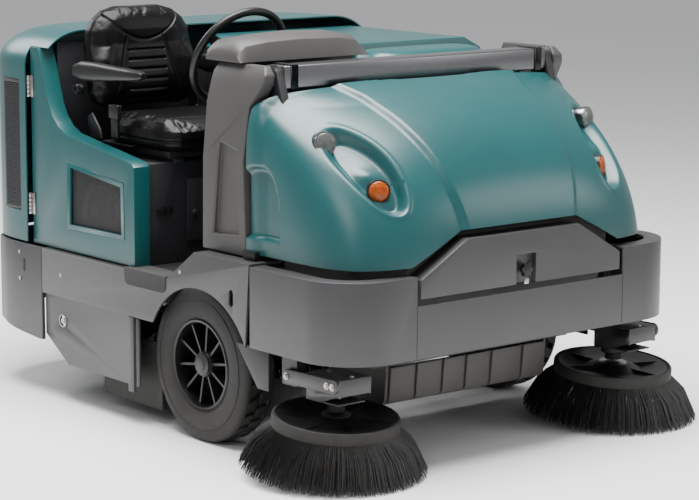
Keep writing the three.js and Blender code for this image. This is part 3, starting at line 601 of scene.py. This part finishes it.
def main_brush():
    """A tube with rows of bristles, each bent into a wide V at the middle."""
    axle_y, axle_z, tube, half = 0.36, 0.182, 0.075, 0.618
    rows, strands = 16, 64
    shape = Shape()
    profile = [(0.024, -half), (tube, -half), (tube, half), (0.024, half)]
    shape.lathe(profile, (0, axle_y, axle_z), (1, 0, 0), 40, True)
    for row in range(rows):
        for k in range(strands):
            x = -0.605 + 1.21 * k / (strands - 1)
            a = 2 * math.pi * row / rows + 0.55 * abs(x) / 0.6
            for lean in (-0.05, 0.05):
                c, s = math.cos(a + lean), math.sin(a + lean)
                tip = 0.176 - 0.004 * random.random()
                root = (x, axle_y + 0.073 * c, axle_z + 0.073 * s)
                end = (x + random.gauss(0, 0.004), axle_y + tip * c, axle_z + tip * s)
                bristle_strand(shape, root, end, 0.006, (0, 0, 0))
    shape.made("main_brush_roll", BRISTLE, "brush_roll", replaces=["main_brush"], slot="bristle", smooth=40)


# ---------------------------------------------------------------- wheels
def wheel(prefix, body, centre, sign, radius, half, rim, nodes, lugs):
    """A solid tyre with tread blocks inboard of a smooth shoulder, on a ten-spoke rim."""
    centre, out = Vector(centre), (sign, 0, 0)
    tyre, tread, spider = Shape(), Shape(), Shape()
    core = radius - 0.014
    shoulder = [(radius * 0.80, half - 0.001), (radius * 0.90, half - 0.003), (radius - 0.016, half - 0.006),
                (radius - 0.006, half - 0.012), (radius - 0.001, half - 0.021),
                (radius - 0.001, half - 0.028), (core, half - 0.030)]
    side_wall = [(rim, half - 0.012), (rim + 0.010, half - 0.007), (rim + 0.016, half - 0.002), *shoulder]
    tyre.lathe([*side_wall, *[(r, -h) for r, h in reversed(side_wall)]], centre, out, 120, True)
    for face in (-1, 1):
        tyre.lathe([(radius * 0.84, face * (half - 0.004)), (radius * 0.845, face * (half + 0.0005)),
                    (radius * 0.855, face * (half + 0.0005)), (radius * 0.86, face * (half - 0.004))],
                   centre, out, 120, True)
    pitch = 2 * math.pi / lugs
    lane_half = half - 0.028
    for i in range(lugs):
        for lane in (-1, 1):
            a0, width = pitch * (i + 0.25 * lane), pitch * 0.62
            x0, x1 = sorted((lane * 0.004, lane * (lane_half + 0.002)))
            ring = []
            for r, inset in ((core - 0.002, 0), (radius - 0.0005, 0.002)):
                for x, a in ((x0 + inset, a0), (x1 - inset, a0 + 0.25 * pitch),
                             (x1 - inset, a0 + width + 0.25 * pitch),
                             (x0 + inset, a0 + width)):
                    ring.append(centre + Vector((x * sign, r * math.cos(a), r * math.sin(a))))
            tread.add(ring, BLOCK)
    tyre.made(f"{prefix}_tyre_body", RUBBER, body, replaces=[nodes[0]], slot="tyre", smooth=40)
    tread.made(f"{prefix}_tyre_tread", RUBBER, body, slot="tyre", bevel=0.0015, segments=1)
    spider.lathe([(rim - 0.013, -half + 0.012), (rim, -half + 0.010), (rim, half - 0.010),
                  (rim - 0.004, half - 0.006), (rim - 0.012, half - 0.008), (rim - 0.016, half - 0.024)],
                 centre, out, 96, True)
    spider.lathe([(0.026, -half + 0.02), (0.048, -half + 0.02), (0.050, half - 0.034), (0.043, half - 0.020),
                  (0.026, half - 0.018)], centre, out, 48, True)
    for k in range(10):
        turn = Matrix.Rotation(2 * math.pi * k / 10 + 0.16, 3, "X")
        outline = [(0.044, -half + 0.03), (rim - 0.010, -half + 0.02), (rim - 0.010, half - 0.022),
                   (0.046, half - 0.026)]
        spoke = [turn @ Vector((v * sign, w, u)) + centre for w in (-0.0042, 0.0042) for u, v in outline]
        spider.add(spoke, BLOCK)
    spider.made(f"{prefix}_rim_spokes", BLACK, body, replaces=[nodes[1]], slot="black_plastic", smooth=40)
    cap = Shape().lathe([(0.0, half - 0.030), (0.038, half - 0.030), (0.040, half - 0.014),
                         (0.034, half - 0.009), (0, half - 0.007)], centre, out, 40)
    cap.made(f"{prefix}_hub_cap", DARK, body, smooth=40)


def wheels():
    for side, sign in SIDES:
        wheel(f"{side}_front", f"{side}_wheel", (sign * 0.67, -0.24, 0.273), sign, 0.273, 0.070, 0.161,
              (f"{side}_front_tyre", f"{side}_front_rim"), 26)
    wheel("rear", "rear_wheel", (0, 0.85, 0.229), 1, 0.229, 0.065, 0.140, ("rear_tyre", "rear_rim"), 24)


# ---------------------------------------------------------------- seat and controls
def inflate(obj, cap, pressure=4.0):
    """Blows a closed form up like stuffed upholstery, and limits how far any point goes."""
    remesh = obj.modifiers.new("remesh", "REMESH")
    remesh.mode, remesh.voxel_size = "VOXEL", 0.006
    graph = bpy.context.evaluated_depsgraph_get()
    mesh = bpy.data.meshes.new_from_object(obj.evaluated_get(graph))
    obj.modifiers.clear()
    obj.data = mesh
    rest = np.array([v.co for v in mesh.vertices])
    cloth = obj.modifiers.new("cloth", "CLOTH")
    cloth.settings.use_pressure = True
    cloth.settings.uniform_pressure_force = pressure
    cloth.settings.effector_weights.gravity = 0
    cloth.settings.quality = 4
    for number in range(1, 21):
        bpy.context.scene.frame_set(number)
    graph = bpy.context.evaluated_depsgraph_get()
    grown = bpy.data.meshes.new_from_object(obj.evaluated_get(graph))
    obj.modifiers.clear()
    bpy.context.scene.frame_set(1)
    moved = np.array([v.co for v in grown.vertices]) - rest
    length = np.linalg.norm(moved, axis=1, keepdims=True)
    final = rest + moved * np.minimum(1, cap / np.maximum(length, 1e-9))
    mesh.vertices.foreach_set("co", final.astype(np.float32).ravel())
    mesh.update()


def groove(obj, distances, depth=0.006, width=0.005):
    """Sinks a seam where each signed-distance function is zero."""
    co = np.array([v.co for v in obj.data.vertices])
    normals = np.array([v.normal for v in obj.data.vertices])
    sunk = np.zeros(len(co))
    for distance in distances:
        sunk = np.maximum(sunk, np.exp(-((distance(co) / width) ** 2)))
    co -= normals * (depth * sunk)[:, None]
    obj.data.vertices.foreach_set("co", co.astype(np.float32).ravel())
    obj.data.update()


SEAT_X = -0.425


def upholstery(name, rings, body, node, cap, seams):
    shape = Shape().loft(rings)
    obj = shape.made(name, VINYL, body, smooth=60)
    obj.modifiers.clear()
    inflate(obj, cap)
    fine = obj.modifiers.new("fine", "SUBSURF")
    fine.levels = fine.render_levels = 1
    graph = bpy.context.evaluated_depsgraph_get()
    mesh = bpy.data.meshes.new_from_object(obj.evaluated_get(graph))
    obj.modifiers.clear()
    obj.data = mesh
    groove(obj, seams)
    mesh.materials.clear()
    mesh.materials.append(VINYL)
    soften(obj, 0, smooth=70)
    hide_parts(node)


def seat():
    def cushion(z, half, y0, y1, power):
        return oval(SEAT_X, (y0 + y1) / 2, z, half, (y1 - y0) / 2, power, 56)

    rings = []
    for z, inset in ((0.974, 0.034), (0.986, 0.014), (1.015, 0.004), (1.044, 0.008), (1.062, 0.028),
                     (1.070, 0.064)):
        ring = cushion(z, 0.238 - inset, 0.036 + inset, 0.512 - inset * 0.6, 4.0)
        rise = 0.014 * (z > 1.05)
        rings.append([(x, y, c + rise * step(0.12, 0.2, abs(x - SEAT_X)) - rise * step(0.14, 0.04, y))
                      for x, y, c in ring])
    upholstery("seat_cushion_pad", rings, "seat", "seat_cushion", 0.010, [
        lambda p: np.where(p[:, 2] > 1.04, np.abs(np.abs(p[:, 0] - SEAT_X) - 0.150), 1),
        lambda p: np.where((p[:, 2] > 1.05) & (np.abs(p[:, 0] - SEAT_X) < 0.150),
                           np.abs(p[:, 1] - 0.150), 1),
        lambda p: np.abs(p[:, 2] - 1.004),
    ])
    rings = []
    levels = ((1.084, 0.170, 0.565, 0.034), (1.102, 0.210, 0.562, 0.044), (1.140, 0.231, 0.561, 0.050),
              (1.200, 0.238, 0.562, 0.052), (1.265, 0.239, 0.567, 0.052), (1.320, 0.236, 0.573, 0.050),
              (1.375, 0.226, 0.579, 0.046), (1.415, 0.200, 0.584, 0.041), (1.445, 0.158, 0.588, 0.034),
              (1.462, 0.100, 0.590, 0.022))
    for z, half, y, depth in levels:
        ring = []
        for px, py, _ in oval(SEAT_X, y, z, half, depth, 2.8, 60):
            u, forward = abs(px - SEAT_X), 1.0 if py < y else 0.0
            bolster = 0.022 * step(0.10, 0.18, u) * step(1.36, 1.26, z)
            lumbar = 0.014 * math.exp(-(((z - 1.16) / 0.06) ** 2)) * step(0.16, 0.06, u)
            head = 0.012 * step(1.32, 1.38, z)
            ring.append((px, py - forward * (bolster + lumbar + head), z))
        rings.append(ring)

    def head_seam(p):
        arc = 1.335 + 0.10 * ((p[:, 0] - SEAT_X) / 0.17) ** 2
        return np.where(p[:, 1] < 0.57, np.abs(p[:, 2] - arc), 1)

    def wing_seam(p):
        edge = 0.085 + 0.055 * np.clip((1.335 - p[:, 2]) / 0.2, -0.2, 1)
        return np.where((p[:, 1] < 0.57) & (p[:, 2] < 1.350), np.abs(np.abs(p[:, 0] - SEAT_X) - edge), 1)

    def channels(p):
        inside = (np.abs(p[:, 0] - SEAT_X) < 0.085) & (p[:, 1] < 0.57) & (p[:, 2] < 1.30)
        return np.where(inside, np.abs((p[:, 2] - 1.10) % 0.036 - 0.018), 1)

    upholstery("seat_back_pad", rings, "backrest", "seat_back", 0.008, [head_seam, wing_seam, channels])
    for side, x in (("right", -0.698), ("left", -0.142)):
        rest = Shape()
        sections = ((0.566, 0.020, 0.024), (0.520, 0.022, 0.036), (0.440, 0.023, 0.034),
                    (0.330, 0.0235, 0.028), (0.220, 0.0235, 0.022), (0.155, 0.021, 0.016),
                    (0.134, 0.013, 0.009))
        rings = []
        for y, a, b in sections:
            z = 1.231 + 0.010 * (0.566 - y) / 0.43
            ring = []
            for k in range(28):
                c, s = math.cos(k * math.pi / 14), math.sin(k * math.pi / 14)
                size = (abs(c) ** 3 + abs(s) ** 3) ** (-1 / 3)
                ring.append((x + a * c * size, y, z + b * s * size))
            rings.append(ring)
        rest.loft(rings)
        rest.disc(0.012, -0.006, 0.026, (x, 0.552, 1.231), (1 if x < SEAT_X else -1, 0, 0))
        rest.made(f"{side}_armrest_pad", BLACK, f"{side}_rest", replaces=[f"{side}_armrest"],
                  slot="black_plastic", smooth=50)
    knob = Shape().lathe([(0, -0.016), (0.016, -0.016), (0.020, -0.011), (0.020, 0.010), (0.017, 0.016),
                          (0.010, 0.016), (0.009, 0.011), (0, 0.011)], (-0.684, 0.575, 1.160), (-1, 0, 0),
                         32)
    knob.made("lumbar_knob_grip", BLACK, "lumbar", replaces=["lumbar_knob"], slot="black_plastic")
    frame_work = Shape().box((-0.640, 0.30, 0.968), (-0.200, 0.50, 0.975))
    for x in (-0.655, -0.185):
        frame_work.slab([(0.470, 0.985), (0.545, 0.985), (0.560, 1.060), (0.530, 1.075), (0.480, 1.020)],
                        "x", x - 0.004, x + 0.004)
    frame_work.made("seat_frame", DARK, "seat", bevel=0.001)
    belt = Shape().box((-0.682, 0.330, 1.000), (-0.668, 0.372, 1.090))
    belt.box((-0.686, 0.322, 1.070), (-0.664, 0.380, 1.120))
    belt.made("belt_buckle", BLACK, "seat", bevel=0.004, segments=3)


WHEEL_AT, TILT = Vector((-0.42, -0.05, 1.31)), -math.radians(62)


def steering():
    turn = Matrix.Rotation(TILT, 3, "X")

    def local(points):
        return [turn @ Vector(p) + WHEEL_AT for p in points]

    ring = Shape().tube(local([(0.185 * math.cos(a), 0.185 * math.sin(a), 0) for a in
                               (2 * math.pi * i / 96 for i in range(96))]), 0.0145, 16, closed=True)
    for k in range(3):
        a = math.radians(90 + 120 * k)
        c, s = math.cos(a), math.sin(a)
        path = [(r * c, r * s, z)
                for r, z in ((0.030, -0.014), (0.070, -0.018), (0.120, -0.014), (0.160, -0.006), (0.182, 0))]
        for off in (-0.010, 0, 0.010):
            ring.tube(local([(x - off * s, y + off * c, z) for x, y, z in path]), 0.0085, 10)
    axis = turn @ Vector((0, 0, 1))
    ring.lathe([(0, -0.034), (0.034, -0.034), (0.043, -0.028), (0.045, -0.014), (0.040, -0.0105),
                (0, -0.0105)],
               WHEEL_AT, axis, 40)
    ring.made("steering_wheel_rim", BLACK, "wheel", replaces=["steering_wheel"], slot="black_plastic",
              smooth=50)
    Shape().lathe([(0, -0.003), (0.024, -0.003), (0.024, 0.004), (0.020, 0.008), (0, 0.0085)],
                  WHEEL_AT, axis, 36).made(
        "horn_button_cap", BLACK, "horn", replaces=["horn_button"], slot="black_plastic")
    Shape().lathe([(0, -0.236), (0.027, -0.236), (0.027, -0.150), (0.022, -0.140), (0.022, -0.060),
                   (0.027, -0.050), (0.027, -0.035), (0, -0.035)], WHEEL_AT, axis, 32).made(
        "steering_column_boot", BLACK, "column", replaces=["steering_column"], slot="black_plastic")
    for name, x, width in (("accelerator", -0.32, 0.080), ("brake", -0.53, 0.070)):
        a, b = Vector((0, -0.050, 0.574)), Vector((0, -0.232, 0.672))
        along, up = (b - a).normalized(), (b - a).normalized().cross(Vector((-1, 0, 0)))
        up_sign = 1 if up.z > 0 else -1
        plate = Shape()

        def put(x0, x1, u0, u1, w0, w1):
            corners = [a + along * u + up * w * up_sign for u in (u0, u1) for w in (w0, w1)]
            plate.add([(x + across, q.y, q.z) for across in (x0, x1) for q in corners],
                      [(0, 1, 3, 2), (4, 6, 7, 5), (0, 4, 5, 1), (2, 3, 7, 6), (0, 2, 6, 4), (1, 5, 7, 3)])

        put(-width / 2, width / 2, 0.0, 0.205, -0.003, 0.003)
        for k in range(9):
            put(-width / 2 + 0.005, width / 2 - 0.005, 0.022 + k * 0.020, 0.030 + k * 0.020, 0.002, 0.006)
        plate.made(f"{name}_pedal_pad", BLACK, name, replaces=[f"{name}_pedal"], slot="black_plastic",
                   bevel=0.001)


# ---------------------------------------------------------------- body details
def side_column():
    """The black bellows between each grey column and the beam, and the column's foot."""
    for side, sign in SIDES:
        near, far = sorted((sign * 0.66, sign * 0.74))
        bracket = Shape().box((near, -0.565, 0.682), (far, -0.500, 0.712))
        bracket.made(f"{side}_column_foot", BLACK, "chassis", bevel=0.003)
        folds = [(0, 0)] + [(0.036 + 0.006 * (k % 2), 0.0045 * k) for k in range(9)] + [(0, 0.036)]
        Shape().lathe(folds, (sign * 0.604, -0.505, 1.284), (sign, 0, 0), 40).made(
            f"{side}_beam_boot", BLACK, "chassis", smooth=50)


def cowl():
    rings = []
    for x, low, high, back in ((-0.690, 1.352, 1.360, -0.224), (-0.680, 1.372, 1.384, -0.218),
                               (-0.655, 1.390, 1.402, -0.214), (-0.560, 1.400, 1.412, -0.212),
                               (-0.420, 1.404, 1.418, -0.212), (-0.250, 1.400, 1.413, -0.213),
                               (-0.175, 1.388, 1.400, -0.216), (-0.128, 1.345, 1.356, -0.226)):
        rings.append([(x, -0.425, 1.328), (x, back, 1.328), (x, back - 0.006, low - 0.012),
                      (x, back - 0.035, low + 0.004), (x, -0.300, high), (x, -0.370, high - 0.004),
                      (x, -0.405, low - 0.008)])
    Shape().loft(rings).made("dash_cowl_shell", WARM, "chassis", replaces=["dash_cowl"],
                             slot="grey_plastic", bevel=0.004, segments=3)
    gauges = Shape()
    for k, x in enumerate((-0.600, -0.530, -0.300, -0.235)):
        gauges.lathe([(0, 0), (0.020, 0), (0.020, 0.006), (0.016, 0.008), (0, 0.006)], (x, -0.286, 1.255),
                     (0, 1, 0), 28)
    for k in range(6):
        gauges.box((-0.60 + 0.028 * k, -0.286, 1.175), (-0.582 + 0.028 * k, -0.279, 1.205))
    gauges.made("dash_gauges", DARK, "chassis", bevel=0.001)


DOOR = {"outer": -0.765, "inner": -0.698, "frame": -0.757, "hinge": 0.7825}
DOOR_EDGE = [(0.105, 0.571), (0.775, 0.571), (0.775, 1.305), (0.724, 1.305), (0.700, 1.240), (0.676, 1.165),
             (0.655, 1.105), (0.628, 1.060), (0.590, 1.025), (0.540, 1.002), (0.430, 0.985), (0.300, 0.966),
             (0.180, 0.948), (0.120, 0.938), (0.105, 0.925)]
WINDOW = [(0.185, 0.676), (0.520, 0.672), (0.515, 0.882), (0.188, 0.846)]
WINDOW_FRAME = [(0.166, 0.658), (0.538, 0.654), (0.533, 0.902), (0.170, 0.863)]


def side_door():
    """The moulded door: a tray with a turned-in edge round its window."""
    work = bmesh.new()
    outer, inner = ([work.verts.new((DOOR["outer"], y, z)) for y, z in ring] for ring in (DOOR_EDGE, WINDOW))
    edges = [work.edges.new((ring[i], ring[(i + 1) % len(ring)]))
             for ring in (outer, inner) for i in range(len(ring))]
    bmesh.ops.triangle_fill(work, use_beauty=True, edges=edges)
    over_window = [f for f in work.faces if all(v in inner for v in f.verts)]
    bmesh.ops.delete(work, geom=over_window, context="FACES")
    for ring, depth in ((outer, DOOR["inner"]), (inner, DOOR["frame"])):
        rim = [e for e in work.edges if e.is_boundary and all(v in ring for v in e.verts)]
        for new in bmesh.ops.extrude_edge_only(work, edges=rim)["geom"]:
            if isinstance(new, bmesh.types.BMVert):
                new.co.x = depth
    shell("side_door_shell", work, "side_door", "right_door", 0.004, 35, 0.007, 4, upward=False, even=True)
    door_window()
    door_hinges()


def door_window():
    """The window's raised frame, its wire mesh and the belt guard behind it."""
    frame_rim = Shape()
    for i in range(4):
        corners = [WINDOW_FRAME[i - 1], WINDOW_FRAME[i], WINDOW[i], WINDOW[i - 1]]
        frame_rim.slab(corners, "x", DOOR["outer"] - 0.0025, DOOR["outer"] + 0.003)
    frame_rim.made("side_door_window_frame", TEAL, "side_door", bevel=0.002, segments=3)
    mesh_wire, pitch, wire = Shape(), 0.0072, 0.0022
    for k in range(46):
        y = 0.188 + pitch * k
        mesh_wire.box((-0.7545, y, 0.668), (-0.7530, y + wire, 0.886))
    for k in range(30):
        z = 0.672 + pitch * k
        mesh_wire.box((-0.7532, 0.180, z), (-0.7518, 0.526, z + wire))
    mesh_wire.made("side_door_mesh", GREY, "side_door", replaces=["right_door_screen"], slot="dark_steel")
    guard = Shape()
    arc = [(-0.7385, 0.345 + 0.118 * math.cos(a), 0.700 + 0.135 * math.sin(a))
           for a in np.linspace(0, math.pi, 40)]
    guard.tube(arc, 0.009, 12)
    guard.lathe([(0, 0), (0.026, 0), (0.026, 0.006), (0.010, 0.009), (0, 0.009)], (-0.7365, 0.400, 0.745),
                (-1, 0, 0), 28)
    guard.made("belt_guard", WARM, "side_door")


def door_hinges():
    hinges, plates = Shape(), Shape()
    for z in (0.720, 1.160):
        for k in range(5):
            at = (-0.7715, DOOR["hinge"], z - 0.040 + 0.016 * k)
            hinges.disc(0.006, 0, 0.015, at, (0, 0, 1), 16)
        plates.box((-0.7695, 0.7555, z - 0.040), (-0.7655, 0.7765, z + 0.040))
    hinges.made("side_door_hinge_knuckles", ZINC, "chassis", bevel=0.0005)
    plates.made("side_door_hinge_leaves", ZINC, "side_door", bevel=0.0005)


def skirts():
    for side, sign in SIDES:
        gusset = Shape().slab([(-0.470, 0.394), (-0.590, 0.255), (-0.650, 0.255), (-0.650, 0.394)],
                              "x", sign * 0.742, sign * 0.748)
        gusset.made(f"{side}_gusset", DARK, "chassis", bevel=0.001)
        mat = Shape()
        near, far = sorted((sign * 0.700, sign * 0.787))
        mat.box((near, -0.116, 0.5655), (far, 0.139, 0.5705))
        wrap = [(-0.114, 0.570), (0.139, 0.570)]
        wrap += [(0.114 + 0.025 * math.cos(a), 0.535 + 0.025 * math.sin(a))
                 for a in np.linspace(0, -math.pi / 2, 6)]
        wrap += [(-0.089 + 0.025 * math.cos(a), 0.535 + 0.025 * math.sin(a))
                 for a in np.linspace(-math.pi / 2, -math.pi, 6)]
        mat.slab(wrap, "x", sign * 0.7850, sign * 0.7880)
        mat.made(f"{side}_step_mat", MAT, "chassis", bevel=0.001)
        near, far = sorted((sign * 0.700, sign * 0.706))
        flap = Shape().box((near, 0.028, 0.055), (far, 0.398, 0.300))
        flap.made(f"{side}_rubber_flap", RUBBER, "chassis", bevel=0.001)
        studs = Shape()
        for y, z in ((0.845, 0.529), (0.845, 0.428), (0.560, 0.480), (-0.200, 0.600)):
            studs.bolt((sign * 0.785, y, z), (sign, 0, 0), 0.005, 0.0035)
        studs.made(f"{side}_skirt_bolts", ZINC, "chassis")
        slot = []
        for k in range(16):
            a = 2 * math.pi * (k + 0.5) / 16
            end = 0.018 * math.copysign(1, math.sin(a))
            slot.append((0.817 + 0.007 * math.cos(a), 0.483 + end + 0.007 * math.sin(a)))
        Shape().slab(slot, "x", sign * 0.7835, sign * 0.7862).made(f"{side}_bumper_slot", BLACK, "chassis")
        at, out = (sign * 0.776, 0.562, 0.306), (sign, 0, 0)
        lock = Shape().lathe([(0.020, 0), (0.024, 0), (0.024, 0.003), (0.020, 0.003)], at, out, 32, True)
        lock.disc(0.012, -0.006, 0.002, at, out, 24)
        lock.made(f"{side}_brush_door_latch", ZINC, f"{side}_brush_hatch")
    seams = Shape()
    for x in (-0.4745, 0.4725):
        seams.box((x, -1.0856, 0.404), (x + 0.002, -1.080, 0.576))
    seams.made("bumper_seams", BLACK, "chassis")
    tab = Shape().box((0.000, -1.0868, 0.597), (0.020, -1.0840, 0.616))
    tab.made("latch_tab", ZINC, "hopper", bevel=0.0006)
    knob = Shape()
    profile = []
    for i in range(96):
        a = 2 * math.pi * i / 96
        r = 0.0222 + 0.0026 * math.cos(6 * a)
        profile.append((0.010 + r * math.cos(a), 0.645 + r * math.sin(a)))
    knob.slab(profile, "y", -1.093, -1.075)
    knob.disc(0.008, 0, 0.012, (0.010, -1.076, 0.645), (0, 1, 0))
    knob.made("latch_knob_grip", BLACK, "latch", replaces=["cover_latch_knob"], slot="black_plastic",
              bevel=0.003, segments=3)


def tub_ribs():
    """Shallow raised panels low on the front of the moulded hopper tub, under an overhanging band."""
    ribs = Shape()
    edges = (-0.365, -0.245, -0.124, -0.017, 0.101, 0.250, 0.365)
    for x0, x1 in zip(edges, edges[1:]):
        ribs.slab([(-0.800, 0.182), (-0.811, 0.200), (-0.822, 0.312), (-0.806, 0.312), (-0.795, 0.200)],
                  "x", x0 + 0.006, x1 - 0.006)
    ribs.slab([(-0.812, 0.322), (-0.836, 0.330), (-0.893, 0.405), (-0.870, 0.405), (-0.812, 0.334)],
              "x", -0.380, 0.380)
    ribs.made("hopper_tub_ribs", TUB, "hopper", bevel=0.004, segments=3)


HOOD = {"half": 0.783, "middle": 0.665, "depth": 0.522, "bottom": 0.575, "shoulder": 1.235, "top": 1.368,
        "round": 0.190, "front": 0.672, "door": (-0.690, 0.790, 1.307),
        "grille": ((0.832, 0.688), (0.950, 1.182))}


def rear_hood():
    """The rear hood as one smooth skin, with its edge at the side door and the recess for the grille."""
    columns, wall_rows, round_rows = 180, 36, 24
    rise, crown = HOOD["shoulder"] - HOOD["bottom"], HOOD["top"] - HOOD["shoulder"]
    levels = [(HOOD["bottom"] + rise * k / wall_rows, 0.0) for k in range(wall_rows)]
    levels += [(HOOD["shoulder"] + crown * math.sin(a), HOOD["round"] * (1 - math.cos(a)))
               for a in np.linspace(0, math.pi / 2, round_rows)]
    verts, across = [], columns + 1
    for z, shrink in levels:
        ring = oval(0, HOOD["middle"], z, HOOD["half"] - shrink, HOOD["depth"] - shrink, 4.5, 2 * columns)
        verts += ring[:across]
    top_row = list(range(len(verts) - across, len(verts)))
    work = surface(verts, [*grid(len(levels), across), top_row])
    door_x, door_y, door_z = HOOD["door"]
    (grille_y0, grille_z0), (grille_y1, grille_z1) = HOOD["grille"]
    bisect(work, (0, HOOD["front"], 0), (0, -1, 0), True)
    bisect(work, (door_x, 0, 0), (1, 0, 0), False)
    for y in (door_y, grille_y0, grille_y1):
        bisect(work, (0, y, 0), (0, 1, 0), False)
    for z in (door_z, grille_z0, grille_z1):
        bisect(work, (0, 0, z), (0, 0, 1), False)

    def open_here(face):
        at = face.calc_center_median()
        door = at.x < door_x and at.y < door_y and at.z < door_z
        return door or (at.x < -0.70 and grille_y0 < at.y < grille_y1 and grille_z0 < at.z < grille_z1)

    bmesh.ops.delete(work, geom=[f for f in work.faces if open_here(f)], context="FACES")
    bmesh.ops.remove_doubles(work, verts=work.verts, dist=1e-5)
    shell("rear_hood_skin", work, "chassis", "rear_hood", 0.005, 40)
    liner = Shape().box((-0.0960, -0.020, 0.600), (-0.0915, 0.650, 1.285))
    liner.made("console_side_liner", DARK, "chassis", bevel=0.002)


def hood_details():
    slats = Shape()
    for k in range(60):
        z = 0.695 + 0.008 * k
        slats.box((-0.7765, 0.836, z), (-0.7738, 0.946, z + 0.0045))
    slats.made("grille_slats", DARK, "chassis")
    edges = Shape()
    for z in (0.690, 1.168):
        edges.box((-0.7775, 0.832, z), (-0.7740, 0.950, z + 0.012))
    edges.made("grille_edges", WARM, "chassis", bevel=0.001)
    bulge = Shape()
    rings = []
    for z, inset in ((1.268, 0.0), (1.290, 0.006), (1.306, 0.022), (1.312, 0.050)):
        rings.append(oval(0.330, -0.160, z, 0.270 - inset, 0.120 - inset, 3.4, 48))
    bulge.loft(rings)
    bulge.made("left_cover_bulge", TEAL, "chassis", smooth=60)
    top = Shape()
    for k in range(2):
        top.lathe([(0, 0), (0.014, 0), (0.014, 0.014), (0.008, 0.022), (0, 0.022)],
                  (-0.060, 0.300 + 0.06 * k, 1.3250), (0, 0, 1), 24)
    top.made("console_knobs", BLACK, "chassis")
    straps = Shape()
    for x in (-0.575, 0.545):
        straps.box((x, -0.5535, 1.2440), (x + 0.030, -0.5500, 1.3235))
        straps.box((x, -0.5535, 1.3235), (x + 0.030, -0.4575, 1.3265))
    straps.made("beam_straps", BLACK, "lift_arms", bevel=0.001)
    tray = Shape().box((-0.690, 0.7060, 0.945), (-0.098, 0.7120, 1.325))
    tray.made("seat_bulkhead", DARK, "chassis", bevel=0.003)
    latch = Shape().box((-0.660, 0.113, 0.750), (-0.590, 0.1195, 0.768))
    for x in (-0.642, -0.616):
        latch.box((x, 0.108, 0.742), (x + 0.012, 0.114, 0.776))
    latch.made("seat_box_strap", BLACK, "chassis", bevel=0.002)


def engine_bay():
    fins = Shape()
    for k in range(14):
        z = 0.620 + 0.024 * k
        fins.box((0.055, 0.055, z), (0.425, 0.060, z + 0.008))
    fins.made("engine_fins", IRON, "chassis", bevel=0.001)
    low, high = (Vector(c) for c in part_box("dust_filter"))
    count = 40
    pitch = (high.x - low.x) / count
    pleats = Shape()
    for k in range(count):
        x = low.x + pitch * k
        pleats.slab([(x, high.z), (x + pitch / 2, high.z + 0.006), (x + pitch, high.z)],
                    "y", low.y + 0.01, high.y - 0.01)
    pleats.made("filter_pleats", PAPER, "hopper")


def carried():
    """The CAD pieces that keep their own form and only take soft edges and a finish."""
    for node in ("main_frame", "operator_floor", "seat_box", "right_grille", "radiator", "hydraulic_tank",
                 "seat_box_door", "right_lift_arm", "left_lift_arm", "steer_yoke", "main_brush_arm",
                 "seat_base"):
        carry(node, DARK, 0.002)
    for node in ("front_bumper", "right_fender", "left_fender", "rear_bumper"):
        carry(node, GREY, 0.003, 3)
    for node in ("right_brush_door", "left_brush_door"):
        carry(node, GREY, 0.0012)
    carry("hopper_front_panel", GREY, 0.004, 3)
    carry("dash_panel", BLACK, 0.003)
    carry("left_body_cover", TEAL, 0.007, 4)
    for node in ("right_column", "left_column"):
        carry(node, WARM, 0.008, 4)
    carry("engine_block", IRON, 0.008, 3)
    carry("torque_beam", BRIGHT, 0.006, 4)
    carry("hopper_tub", TUB, 0.004, 3)
    carry("dust_filter", PAPER, 0.004)


# ---------------------------------------------------------------- stage
def area_light(name, at, target, size, power):
    data = bpy.data.lights.new(name, "AREA")
    data.shape, data.size, data.energy = "DISK", size, power
    obj = placed(name, data)
    obj.location = at
    obj.rotation_euler = (Vector(target) - Vector(at)).to_track_quat("-Z", "Y").to_euler()


def studio():
    """A wide pale floor under soft lights."""
    half = 60
    mesh = bpy.data.meshes.new("floor")
    corners = [(-half, -half, 0), (half, -half, 0), (half, half, 0), (-half, half, 0)]
    mesh.from_pydata(corners, [], [(0, 1, 2, 3)])
    mesh.materials.append(STUDIO)
    placed("floor", mesh)
    world = bpy.data.worlds.new("studio")
    bpy.context.scene.world = world
    world.use_nodes = True
    background = world.node_tree.nodes["Background"]
    background.inputs["Color"].default_value = (0.97, 0.98, 1.0, 1)
    background.inputs["Strength"].default_value = 0.48
    area_light("top", (-0.6, -0.4, 5.2), (0, -0.2, 0.9), 4.4, 900)
    area_light("key", (-5.0, -3.0, 4.2), (0, 0, 0.7), 2.4, 60)
    area_light("fill", (4.5, -5.0, 3.0), (0, 0, 0.7), 2.6, 60)
    area_light("back", (-1.5, 5.5, 4.2), (0, 0, 0.9), 3.0, 160)


camera()
carried()
hopper_cover()
lamps()
side_brushes()
main_brush()
wheels()
seat()
steering()
side_column()
rear_hood()
cowl()
side_door()
skirts()
tub_ribs()
hood_details()
engine_bay()
studio()

bpy.context.view_layer.update()
